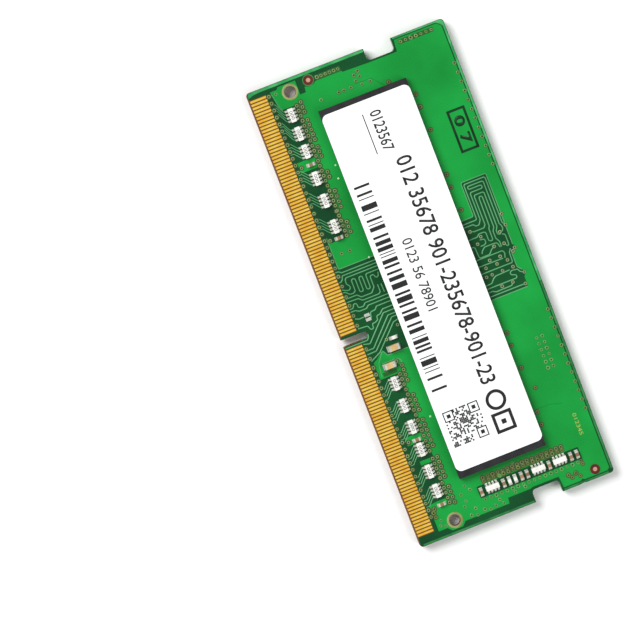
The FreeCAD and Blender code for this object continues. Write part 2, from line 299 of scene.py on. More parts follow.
# Each finish: dark tone, light tone, roughness and what differs from the usual
finishLook = {
    "bareCopper": ((200, 128, 104), (232, 176, 154), 0.34, {"metallic": 0.6}),
    "tinSolder": ((206, 208, 194), (242, 243, 232), 0.3,
                  {"metallic": 0.6, "patchScale": 2200, "grainScale": 14000, "bump": 0.4}),
    "warmTin": ((190, 170, 134), (236, 222, 194), 0.35,
                {"metallic": 0.5, "patchScale": 2200, "grainScale": 14000, "bump": 0.4}),
    "mouldBlack": ((26, 26, 28), (40, 39, 43), 0.62,
                   {"patchScale": 600, "grainScale": 16000, "bump": 0.6, "specular": 0.3}),
    "carrierGreen": ((18, 44, 24), (30, 60, 34), 0.5, {}),
    "silicon": ((60, 62, 70), (84, 86, 96), 0.2, {"metallic": 0.4}),
    "whiteCeramic": ((226, 226, 218), (246, 246, 240), 0.42,
                     {"patchScale": 1500, "grainScale": 15000, "bump": 0.3}),
    "tanBody": ((142, 104, 66), (186, 146, 104), 0.4, {"patchScale": 1200, "bump": 0.3}),
    "brownCeramic": ((122, 92, 60), (160, 128, 92), 0.4,
                     {"patchScale": 900, "grainScale": 15000, "bump": 0.3}),
    "tanCeramic": ((196, 160, 104), (218, 186, 132), 0.4,
                   {"patchScale": 900, "grainScale": 15000, "bump": 0.3}),
    "labelPaper": ((246, 248, 249), (252, 253, 253), 0.48,
                   {"coat": 0.15, "patchScale": 260, "grainScale": 7000, "bump": 0.12}),
    "labelGlue": ((214, 208, 190), (228, 224, 208), 0.5, {}),
    "blackInk": ((10, 11, 12), (20, 21, 22), 0.5, {"patchScale": 900, "bump": 0.1}),
    "greyInk": ((70, 72, 70), (104, 106, 102), 0.6, {"patchScale": 900}),
    "stampInk": ((2, 34, 14), (10, 54, 26), 0.45, {"specular": 0.25}),
    "yellowPrint": ((146, 170, 70), (176, 186, 92), 0.5, {}),
    "khakiInk": ((126, 122, 74), (156, 150, 102), 0.55, {}),
    "edgeGlow": ((36, 142, 72), (76, 176, 104), 0.4, {"specular": 0.25, "patchScale": 500}),
    "farGlow": ((24, 104, 50), (52, 132, 70), 0.4, {"specular": 0.25, "patchScale": 500}),
    "dotSurround": ((52, 20, 12), (92, 38, 30), 0.5, {"specular": 0.25}),
    "darkSurround": ((30, 12, 6), (66, 26, 18), 0.5, {"specular": 0.25}),
    "oliveRim": ((136, 140, 80), (176, 180, 120), 0.4, {"metallic": 0.3}),
    "copperRim": ((84, 46, 28), (126, 76, 48), 0.38, {"metallic": 0.4}),
    "palePads": ((158, 206, 150), (204, 232, 190), 0.35, {"coat": 0.3}),
}
finishes = {name: simpleMaterial(name, tone(*dark), tone(*light), roughness, **others)
            for name, (dark, light, roughness, others) in finishLook.items()}
laminateLook = {"layerPitch": 0.14, "tongue": (2.7, 2.9), "edgeBump": 0.03}


def buildLaminate():
    # Glass-epoxy sheet: bare amber under the contacts, green elsewhere, with its layers on the edges.
    material, tree, shader = newMaterial("laminate", 0.55)
    axes = objectAxes(tree)
    layers = addNode(tree, "ShaderNodeMath", operation="SINE")
    scaled = addNode(tree, "ShaderNodeMath", operation="MULTIPLY")
    scaled.inputs[1].default_value = 2 * math.pi / (laminateLook["layerPitch"] * mm)
    tree.links.new(axes["Z"], scaled.inputs[0])
    tree.links.new(scaled.outputs[0], layers.inputs[0])
    cloud = cloudNode(tree, 900, 9000)
    bare = mixColour(tree, cloud.outputs["Patch"], tone(78, 40, 6), tone(118, 66, 14))
    edge = mixColour(tree, cloud.outputs["Patch"], tone(34, 118, 52), tone(66, 150, 76))
    stripe = mapRange(tree, layers.outputs[0], -0.2, 0.9, 0.0, 0.45)
    edge = mixColour(tree, stripe, edge, tone(74, 104, 44))
    bareEnd, greenStart = (boardLow.y + y * mm for y in laminateLook["tongue"])
    tongue = mapRange(tree, axes["Y"], bareEnd, greenStart)
    tree.links.new(mixColour(tree, tongue, bare, edge), shader.inputs["Base Color"])
    addBump(tree, shader, cloud, 0.5, laminateLook["edgeBump"] * mm)
    return material


# The start and end of the node names that each material goes to; a later row wins
dressing = (
    ("board_laminate", "", buildLaminate()),
    ("mask_front", "", maskMaterials["frontLaminate"]),
    ("mask_back", "", maskMaterials["backLaminate"]),
    ("contacts_front", "", frontGold),
    ("contacts_back", "", backGold),
    ("hole_sleeves", "", buildSleeve()),
    ("dots", "", finishes["bareCopper"]),
    ("memory", "", finishes["mouldBlack"]),
    ("label_face", "", finishes["labelPaper"]),
    ("label_glue", "", finishes["labelGlue"]),
    ("eeprom", "", finishes["mouldBlack"]),
    ("arrays", "", finishes["whiteCeramic"]),
    ("resistors", "", finishes["whiteCeramic"]),
    ("capacitors", "", finishes["brownCeramic"]),
    ("bulk", "", finishes["tanCeramic"]),
    ("", "_lands", finishes["tinSolder"]),
    ("", "_ends", finishes["tinSolder"]),
    ("", "_balls", finishes["tinSolder"]),
    ("decouplers", "_bodies", finishes["tanBody"]),
    ("decouplers", "_ends", finishes["warmTin"]),
    ("", "_carrier", finishes["carrierGreen"]),
    ("", "_die", finishes["silicon"]),
)
for name, node in nodes.items():
    fitting = [material for start, end, material in dressing if name.startswith(start) and name.endswith(end)]
    node.data.materials.clear()
    node.data.materials.append(fitting[-1])
print("CAD nodes dressed")


# Geometry helpers

def linkObject(name, data):
    made = bpy.data.objects.new(name, data)
    bpy.context.scene.collection.objects.link(made)
    return made


def keepPiece(name, mesh, material):
    mesh.name = name
    if material is not None:
        mesh.materials.clear()
        mesh.materials.append(material)
    piece = linkObject(name, mesh)
    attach(piece, "root")


def takeMesh(holder):
    # The holder's evaluated shape as a plain mesh. The holder goes.
    bpy.context.view_layer.update()
    mesh = bpy.data.meshes.new_from_object(holder.evaluated_get(bpy.context.evaluated_depsgraph_get()))
    bpy.data.objects.remove(holder)
    return mesh


def roundedOutline(points, radius):
    # The closed outline with each corner turned into a short arc.
    result = []
    steps = 4
    count = len(points)
    for index, corner in enumerate(points):
        here = Vector(corner)
        before = Vector(points[index - 1]) - here
        after = Vector(points[(index + 1) % count]) - here
        reach = min(radius, before.length * 0.45, after.length * 0.45)
        start = here + before.normalized() * reach
        stop = here + after.normalized() * reach
        for step in range(steps + 1):
            share = step / steps
            result.append(start * (1 - share) ** 2 + here * 2 * share * (1 - share) + stop * share ** 2)
    return result


def sheetMesh(name, outlines, height, thickness, behind, edge=0.006):
    # Flat sheet with holes, filled between nested outlines given in board millimetres.
    curve = bpy.data.curves.new(name, "CURVE")
    curve.dimensions = "2D"
    curve.fill_mode = "BOTH"
    curve.extrude = max(thickness / 2 - edge, 0.0005) * mm
    curve.bevel_depth = edge * mm
    curve.bevel_resolution = 1
    for points in outlines:
        spline = curve.splines.new("POLY")
        spline.points.add(len(points) - 1)
        for point, (x, y) in zip(spline.points, points):
            point.co = (*place(x, y, behind), 0, 1)
        spline.use_cyclic_u = True
    mesh = takeMesh(linkObject(name, curve))
    mesh.transform(Matrix.Translation((0, 0, height)))
    return mesh


def nodeTree(name, inputs):
    # A Geometry Nodes tree with named inputs. Returns it with its ends and its socket identifiers.
    tree = bpy.data.node_groups.new(name, "GeometryNodeTree")
    tree.interface.new_socket("Geometry", in_out="INPUT", socket_type="NodeSocketGeometry")
    identifiers = {}
    for label, kind in inputs:
        socket = tree.interface.new_socket(label, in_out="INPUT", socket_type="NodeSocket" + kind)
        identifiers[label] = socket.identifier
    tree.interface.new_socket("Geometry", in_out="OUTPUT", socket_type="NodeSocketGeometry")
    start = tree.nodes.new("NodeGroupInput")
    end = tree.nodes.new("NodeGroupOutput")
    return tree, start, end, identifiers


def buildTraceTree():
    # Rounds the corners of each line and draws a low, flat-bottomed ridge along it.
    tree, start, end, identifiers = nodeTree("traces", [("Corner Radius", "Float"), ("Width", "Float"),
                                                        ("Rise", "Float"), ("Finish", "Material")])
    link = tree.links.new
    toCurve = tree.nodes.new("GeometryNodeMeshToCurve")
    fillet = addNode(tree, "GeometryNodeFilletCurve", mode="POLY")
    fillet.inputs["Count"].default_value = 4
    fillet.inputs["Limit Radius"].default_value = True
    upright = addNode(tree, "GeometryNodeSetCurveNormal", mode="Z_UP")
    circle = tree.nodes.new("GeometryNodeCurvePrimitiveCircle")
    circle.inputs["Resolution"].default_value = 8
    circle.inputs["Radius"].default_value = 0.5
    scale = tree.nodes.new("ShaderNodeCombineXYZ")
    doubled = addNode(tree, "ShaderNodeMath", operation="MULTIPLY")
    doubled.inputs[1].default_value = 2.0
    shape = tree.nodes.new("GeometryNodeTransform")
    ridge = tree.nodes.new("GeometryNodeCurveToMesh")
    ridge.inputs["Fill Caps"].default_value = True
    realize = tree.nodes.new("GeometryNodeRealizeInstances")
    finish = tree.nodes.new("GeometryNodeSetMaterial")
    link(start.outputs["Geometry"], toCurve.inputs["Mesh"])
    link(toCurve.outputs["Curve"], fillet.inputs["Curve"])
    link(start.outputs["Corner Radius"], fillet.inputs["Radius"])
    link(fillet.outputs["Curve"], upright.inputs["Curve"])
    link(start.outputs["Width"], scale.inputs["X"])
    link(start.outputs["Rise"], doubled.inputs[0])
    link(doubled.outputs[0], scale.inputs["Y"])
    link(circle.outputs["Curve"], shape.inputs["Geometry"])
    link(scale.outputs["Vector"], shape.inputs["Scale"])
    link(upright.outputs["Curve"], ridge.inputs["Curve"])
    link(shape.outputs["Geometry"], ridge.inputs["Profile Curve"])
    link(ridge.outputs["Mesh"], realize.inputs["Geometry"])
    link(realize.outputs["Geometry"], finish.inputs["Geometry"])
    link(start.outputs["Finish"], finish.inputs["Material"])
    link(finish.outputs["Geometry"], end.inputs["Geometry"])
    return tree, identifiers


def buildScatterTree():
    # Stands one small shape on every point, each a little different in size.
    tree, start, end, identifiers = nodeTree("scatter", [("Shape", "Object"), ("Size", "Float"),
                                                         ("Spread", "Float"), ("Seed", "Int"),
                                                         ("Finish", "Material")])
    link = tree.links.new
    info = addNode(tree, "GeometryNodeObjectInfo", transform_space="ORIGINAL")
    vary = addNode(tree, "FunctionNodeRandomValue", data_type="FLOAT")
    low = addNode(tree, "ShaderNodeMath", operation="SUBTRACT")
    high = addNode(tree, "ShaderNodeMath", operation="ADD")
    onPoints = tree.nodes.new("GeometryNodeInstanceOnPoints")
    realize = tree.nodes.new("GeometryNodeRealizeInstances")
    finish = tree.nodes.new("GeometryNodeSetMaterial")
    link(start.outputs["Shape"], info.inputs["Object"])
    for edge in (low, high):
        link(start.outputs["Size"], edge.inputs[0])
        link(start.outputs["Spread"], edge.inputs[1])
    link(low.outputs[0], vary.inputs[2])
    link(high.outputs[0], vary.inputs[3])
    link(start.outputs["Seed"], vary.inputs["Seed"])
    link(start.outputs["Geometry"], onPoints.inputs["Points"])
    link(info.outputs["Geometry"], onPoints.inputs["Instance"])
    link(vary.outputs[1], onPoints.inputs["Scale"])
    link(onPoints.outputs["Instances"], realize.inputs["Geometry"])
    link(realize.outputs["Geometry"], finish.inputs["Geometry"])
    link(start.outputs["Finish"], finish.inputs["Material"])
    link(finish.outputs["Geometry"], end.inputs["Geometry"])
    return tree, identifiers


traceTree, traceInputs = buildTraceTree()
scatterTree, scatterInputs = buildScatterTree()


def grow(name, source, tree, identifiers, values):
    # Runs a node tree on a mesh and returns the result as a plain mesh.
    holder = linkObject(name, source)
    modifier = holder.modifiers.new(tree.name, "NODES")
    modifier.node_group = tree
    for label, value in values.items():
        modifier[identifiers[label]] = value
    bpy.context.view_layer.update()
    mesh = bpy.data.meshes.new_from_object(holder.evaluated_get(bpy.context.evaluated_depsgraph_get()))
    holder.modifiers.remove(modifier)
    bpy.data.objects.remove(holder)
    return mesh


def linesMesh(name, lines, height, behind):
    points = []
    edges = []
    for line in lines:
        first = len(points)
        points += [(*place(x, y, behind), height) for x, y in line]
        edges += [(index, index + 1) for index in range(first, len(points) - 1)]
    mesh = bpy.data.meshes.new(name)
    mesh.from_pydata(points, edges, [])
    return mesh


def drawTraces(name, lines, behind, material, width, rise, corner=0.25):
    source = linesMesh(name, lines, facing(behind)[0], behind)
    mesh = grow(name, source, traceTree, traceInputs,
                {"Corner Radius": corner * mm, "Width": width * mm, "Rise": rise * mm, "Finish": material})
    keepPiece(name, mesh, None)


def latheMesh(name, profile, segments):
    # Turns (radius, height, shade) points about Z. The shade is kept as an attribute.
    points = []
    shades = []
    faces = []
    for radius, height, shade in profile:
        for step in range(segments):
            angle = 2 * math.pi * step / segments
            points.append((radius * math.cos(angle), radius * math.sin(angle), height))
            shades.append(shade)
    for ring in range(len(profile) - 1):
        for step in range(segments):
            following = (step + 1) % segments
            faces.append((ring * segments + step, ring * segments + following,
                          (ring + 1) * segments + following, (ring + 1) * segments + step))
    last = (len(profile) - 1) * segments
    faces.append(tuple(range(last, last + segments)))
    mesh = bpy.data.meshes.new(name)
    mesh.from_pydata(points, [], faces)
    attribute = mesh.attributes.new("shade", "FLOAT", "POINT")
    attribute.data.foreach_set("value", shades)
    return mesh


def viaMaterial(name, centre, ring, skirt):
    # Colour by the shade attribute: 0 at the drilled centre, 0.5 on the ring, 1 at the skirt.
    material, tree, shader = newMaterial(name, 0.35, coat=0.3)
    shade = addNode(tree, "ShaderNodeAttribute", attribute_name="shade")
    cloud = cloudNode(tree, 1200, 9000)
    inner = mapRange(tree, shade.outputs["Fac"], 0.0, 0.5)
    outer = mapRange(tree, shade.outputs["Fac"], 0.5, 1.0)
    colour = mixColour(tree, inner, centre, ring)
    colour = mixColour(tree, outer, colour, skirt)
    patch = mapRange(tree, cloud.outputs["Patch"], 0.4, 0.6, 0.0, 0.25)
    colour = mixColour(tree, patch, colour, centre)
    tree.links.new(colour, shader.inputs["Base Color"])
    return material


def scatterPoints(name, spots, behind, shape, spread, seed, material):
    height = facing(behind)[0]
    mesh = bpy.data.meshes.new(name)
    mesh.from_pydata([(*place(x, y, behind), height) for x, y in spots], [], [])
    shapeHolder = linkObject(name + "Shape", shape)
    grown = grow(name, mesh, scatterTree, scatterInputs,
                 {"Shape": shapeHolder, "Size": 1.0, "Spread": spread, "Seed": seed, "Finish": material})
    bpy.data.objects.remove(shapeHolder)
    keepPiece(name, grown, None)


# Places that both faces share, in board millimetres

packageStations = (9.7, 21.95, 46.25, 58.5)
arrayStations = (5.1, 7.9, 10.6, 14.7, 18.1, 22.0, 46.1, 49.5, 52.8, 56.3, 59.7, 62.7)
middleStation = 34  # traces fan out to both sides from here
holeSpots = ((1.93, 6.0), (boardLength - 1.93, 6.0))
dotSpots = ((1.3, 9.0), (68.3, 27.5))
backDots = ((1.3, 27.5), (68.3, 9.0))
rimInner = 0.96  # inner radius of the rims round the tooling holes
sheetRise = 0.02
sheetSink = 0.005


def span(first, last, count):
    return [first + (last - first) * step / (count - 1) for step in range(count)]


def alongRow(y, stations):
    return [(x, y) for x in stations]


def boxOutline(x0, x1, y0, y1):
    return [(x0, y0), (x1, y0), (x1, y1), (x0, y1)]


def ringOutline(x, y, radius, steps=20):
    turns = [2 * math.pi * step / steps for step in range(steps)]
    return [(x + radius * math.cos(turn), y + radius * math.sin(turn)) for turn in turns]


def layerSheet(name, outlines, behind, material, rise=sheetRise, rounding=0.15):
    # A thin raised layer of mask. Long outlines, such as rings, keep their corners.
    face, outward = facing(behind)
    middle = face + outward * (rise - sheetSink) / 2 * mm
    rounded = [roundedOutline(points, rounding) if rounding and len(points) < 60 else points
               for points in outlines]
    keepPiece(name, sheetMesh(name, rounded, middle, rise + sheetSink, behind), material)


def ringPair(spot, outer, inner, steps):
    return [ringOutline(*spot, outer, steps[0]), ringOutline(*spot, inner, steps[1])]


def holeRims(name, behind, outer, material):
    rings = [ring for spot in holeSpots for ring in ringPair(spot, outer, rimInner, (32, 32))]
    layerSheet(name, rings, behind, material, rise=0.026, rounding=0)


def surroundDots(name, spots, behind, outer, inner, material):
    for number, spot in enumerate(spots):
        rings = ringPair(spot, outer, inner, (28, 20))
        layerSheet(name + str(number + 1), rings, behind, material, rise=0.012, rounding=0)


# Via shapes and finishes

viaLook = {
    "ringOuter": 0.225,
    "ringInner": 0.125,
    "skirt": 0.4,
    "crown": 0.05,
    "skirtRise": 0.006,
    "shoulderRise": 0.014,
    "boreDrop": 0.018,
    "shoulder": 1.12,
    "mouth": 1.15,
    "segments": 10,
}
viaFinish = {
    "olive": viaMaterial("viaOlive", tone(30, 44, 12), tone(134, 158, 92), tone(16, 54, 14)),
    "brown": viaMaterial("viaBrown", tone(38, 40, 12), tone(118, 134, 68), tone(44, 72, 20)),
    "pour": viaMaterial("viaPour", tone(30, 52, 16), tone(110, 156, 84), tone(18, 112, 42)),
    "plain": viaMaterial("viaPlain", tone(24, 84, 30), tone(104, 170, 88), tone(20, 118, 42)),
    "field": viaMaterial("viaField", tone(36, 52, 20), tone(146, 172, 116), tone(4, 56, 22)),
    "backPour": viaMaterial("viaBackPour", tone(18, 36, 6), tone(138, 176, 96), tone(46, 164, 66)),
    "backBand": viaMaterial("viaBackBand", tone(20, 18, 4), tone(138, 132, 88), tone(16, 22, 4)),
    "backField": viaMaterial("viaBackField", tone(30, 20, 8), tone(104, 112, 74), tone(6, 18, 2)),
}


def viaShape(skirt=None, outer=None, inner=None, behind=False):
    # A mask skirt rising to a ring, with a shallow bore. Heights are above the face.
    look = viaLook
    ring = outer or look["ringOuter"]
    bore = inner or look["ringInner"]
    edge = skirt or look["skirt"]
    crown = look["crown"]
    profile = [(edge, -sheetSink, 1.0), (edge, sheetRise + look["skirtRise"], 1.0),
               (ring * look["shoulder"], sheetRise + look["shoulderRise"], 0.9), (ring, crown, 0.5),
               (bore * look["mouth"], crown, 0.5), (bore, crown - look["boreDrop"], 0.0)]
    outward = facing(behind)[1]
    rings = [(radius * mm, height * outward * mm, shade) for radius, height, shade in profile]
    mesh = latheMesh("viaShape", rings, look["segments"])
    if behind:
        mesh.flip_normals()
    return mesh


def setVias(name, spots, finish, behind=False, skirt=None, outer=None, inner=None, spread=0.08, seed=3):
    shape = viaShape(skirt, outer, inner, behind)
    scatterPoints(name, spots, behind, shape, spread, seed, viaFinish[finish])


# Front face: copper pour, its openings and the darker patches

frontPour = {
    "outline": [(1.0, 3.3), (3.2, 3.75), (3.95, 4.1), (3.95, 6.4), (11.75, 6.4), (11.75, 3.3),
                (13.3, 3.3), (13.3, 6.4), (24.1, 6.4), (24.1, 3.9), (23.2, 3.3), (27.95, 3.3),
                (27.95, 24.05), (22.8, 24.05), (22.8, 27.9), (33.65, 27.9), (34.2, 28.35), (34.7, 27.35),
                (36.9, 27.35), (37.5, 27.85), (38.0, 28.3), (38.6, 27.85), (40.1, 27.85), (40.1, 9.0),
                (41.95, 8.7), (41.95, 5.5), (41.0, 5.05), (41.95, 3.9), (42.3, 3.25), (44.9, 3.25),
                (44.9, 6.4), (54.0, 6.4), (54.0, 3.5), (55.25, 3.5), (55.25, 6.4), (57.95, 6.4),
                (57.95, 4.3), (58.55, 4.3), (58.55, 6.4), (64.2, 6.4), (64.2, 4.6), (64.35, 3.25),
                (68.35, 3.25), (68.35, 4.6), (68.95, 5.2), (68.95, 6.8), (68.35, 7.4), (68.35, 14.2),
                (67.5, 14.3), (67.5, 17.7), (67.35, 18.2), (67.35, 22.2), (69.1, 22.35), (69.1, 25.0),
                (68.9, 25.3), (69.1, 25.6), (69.1, 29.1), (68.8, 29.48), (0.95, 29.48), (0.4, 28.9),
                (0.4, 22.4), (2.1, 22.25), (2.1, 17.8), (1.98, 13.95), (1.78, 13.9), (1.78, 9.95),
                (2.1, 9.5), (2.2, 8.9), (2.0, 8.2), (2.8, 8.1), (2.8, 7.22), (0.68, 7.22), (0.68, 4.6),
                (1.0, 4.3)],
    "holeOpening": 1.13,
    "bulkOpening": (42.85, 44.0, 4.2, 6.5),
    "chipOpening": (64.35, 66.15, 10.6, 26.3),
    "dotOpening": 0.8,
}


def buildFrontPour():
    openings = [ringOutline(x, y, frontPour["holeOpening"]) for x, y in holeSpots]
    openings.append(ringOutline(*dotSpots[1], frontPour["dotOpening"]))
    openings.append(boxOutline(*frontPour["bulkOpening"]))
    openings.append(boxOutline(*frontPour["chipOpening"]))
    layerSheet("frontPour", [frontPour["outline"]] + openings, False, maskMaterials["frontCopper"])


buildFrontPour()

# Pale strips where light comes through the board's edge
layerSheet("frontGlow", [
    [(0.06, 0.6), (0.16, 0.3), (0.42, 0.2), (0.78, 0.2), (0.5, 0.9), (0.42, 2.0), (0.42, 17.75),
     (0.06, 17.75)],
    [(0.06, 22.25), (0.24, 22.25), (0.24, 28.9), (0.95, 29.66), (40.0, 29.66), (40.0, 29.93), (0.6, 29.93),
     (0.2, 29.8), (0.06, 29.4)]],
    False, finishes["edgeGlow"])
layerSheet("farGlow", [boxOutline(69.28, 69.53, 0.5, 17.7), boxOutline(69.3, 69.53, 22.3, 29.2),
                       boxOutline(40.1, 69.0, 29.66, 29.93)], False, finishes["farGlow"])

# Darker strips over the mask, where rows of small vias stand
oliveMask = maskMaterial("frontOlive", (tone(20, 84, 32), tone(48, 100, 42)), 0.3)
brownMask = maskMaterial("frontBrown", (tone(40, 92, 34), tone(82, 90, 42)), 0.5)
layerSheet("frontOliveStrips", [boxOutline(1.0, 1.72, 10.0, 13.85), boxOutline(0.62, 1.28, 22.9, 28.2),
                                boxOutline(44.1, 44.7, 3.9, 6.0)], False, oliveMask, rise=0.024)
layerSheet("frontBrownStrips", [boxOutline(63.3, 64.25, 12.0, 24.2)], False, brownMask, rise=0.024,
           rounding=0.4)
holeRims("frontHoleRims", False, 1.16, finishes["oliveRim"])
surroundDots("frontDotSurround", dotSpots, False, 0.72, 0.32, finishes["dotSurround"])
print("front pour laid")

# Front face: vias

contactVias = [1.5 + 1.045 * step for step in range(26)] + [28.9, 30.4, 32.0, 33.35, 34.9, 36.4, 40.0, 41.5]
contactVias += [42.9 + 1.05 * step for step in range(23)]
bandVias = span(4.1, 23.85, 27) + span(45.1, 57.0, 16) + span(58.2, 65.0, 10)
crestVias = (span(3.8, 5.3, 3) + span(6.5, 9.45, 5) + span(10.6, 12.0, 3) + span(14.4, 15.15, 2)
             + span(17.3, 19.7, 4) + span(22.0, 23.5, 3) + span(44.7, 46.3, 3) + span(48.6, 50.9, 4)
             + span(52.4, 56.4, 6) + span(58.2, 61.2, 5) + span(62.8, 65.2, 4))
setVias("frontBandVias", alongRow(2.95, contactVias) + alongRow(6.2, bandVias) + alongRow(6.9, crestVias)
        + [(12.6, 3.65), (23.7, 3.7), (54.75, 3.8), (20.1, 6.05), (44.0, 6.9), (43.2, 6.35)], "olive")
aboveLabel = [(x + offset, y) for x in packageStations
              for offset, y in ((-1.0, 22.6), (0.9, 22.55), (4.45, 22.75))]
setVias("frontLabelVias", aboveLabel[:-1] + [(54.1, 23.6), (5.7, 19.6)], "brown", seed=5)
topEdge = span(6.55, 21.9, 12) + span(44.2, 59.5, 12)
pourSpots = alongRow(29.3, topEdge)
pourSpots += [(4.5, 12.45), (4.5, 13.25), (4.5, 14.3), (4.6, 15.95), (4.6, 17.2), (2.6, 16.0), (3.4, 16.0),
              (3.0, 15.3), (3.85, 15.3), (26.0, 5.85), (26.0, 4.6)]
setVias("frontPourVias", pourSpots, "pour", skirt=0.33, seed=6)
columnSpots = [(x, y) for y in span(11.9, 24.0, 17) for x in (63.45, 63.95)]
columnSpots += [(66.4, 26.0), (66.9, 26.1), (67.7, 23.6), (68.2, 24.0), (67.8, 24.7), (68.4, 25.2),
                (65.1, 3.8), (65.6, 3.5), (66.3, 3.6)]
setVias("frontColumnVias", columnSpots, "brown", seed=7, spread=0.2)
paleSpots = [(66.5, y) for y in span(11.2, 25.5, 18)]
paleSpots += [(63.6, 9.0), (64.35, 9.6), (64.6, 8.1), (65.7, 8.45), (66.4, 8.0), (67.9, 8.5), (67.2, 9.4),
              (67.8, 10.6), (68.2, 9.4), (67.3, 13.1), (67.9, 12.3), (68.0, 13.5), (68.1, 11.4),
              (66.9, 17.2), (67.1, 15.6), (67.0, 4.1), (67.7, 3.8), (68.0, 4.5), (64.1, 14.3), (63.0, 16.6),
              (4.6, 9.7), (1.5, 4.0)]
paleSpots += [(x, y) for y in (27.2, 26.35) for x in span(47.5, 52.1, 6)]
setVias("frontPaleVias", paleSpots, "plain", skirt=0.3, seed=8, spread=0.2)
darkSpots = [(0.95, y) for y in span(23.2, 27.9, 7)] + [(1.35, y) for y in span(10.3, 13.5, 6)]
setVias("frontDarkVias", darkSpots, "olive", skirt=0.28, seed=9, spread=0.2)
fieldSpots = [(29.05, 27.95), (30.7, 27.95), (31.35, 26.8), (33.1, 26.8), (33.0, 25.3), (31.0, 24.0),
              (31.85, 23.2), (29.8, 22.8), (34.65, 25.6), (34.65, 24.0), (35.5, 26.4), (35.5, 24.8),
              (35.5, 23.1), (36.7, 26.8), (36.7, 25.2), (36.7, 23.6), (36.75, 22.7), (38.0, 28.05),
              (39.6, 27.6), (38.75, 26.0), (38.75, 24.35), (34.2, 28.0), (34.6, 27.6), (38.4, 8.4),
              (39.8, 6.15)]
setVias("frontFieldVias", fieldSpots, "field", skirt=0.32, seed=10)


def blobShape():
    profile = [(0.16, 0), (0.15, 0.03), (0.08, 0.05), (0.03, 0.055)]
    return latheMesh("blobShape", [(radius * mm, height * mm, 0.5) for radius, height in profile], 8)


scatterPoints("frontTestDots", [(15.85, 8.0), (27.9, 8.05), (52.4, 8.05), (13.95, 8.3)], False, blobShape(),
              0.1, 2, finishes["palePads"])
print("front vias set")

# Front face: traces

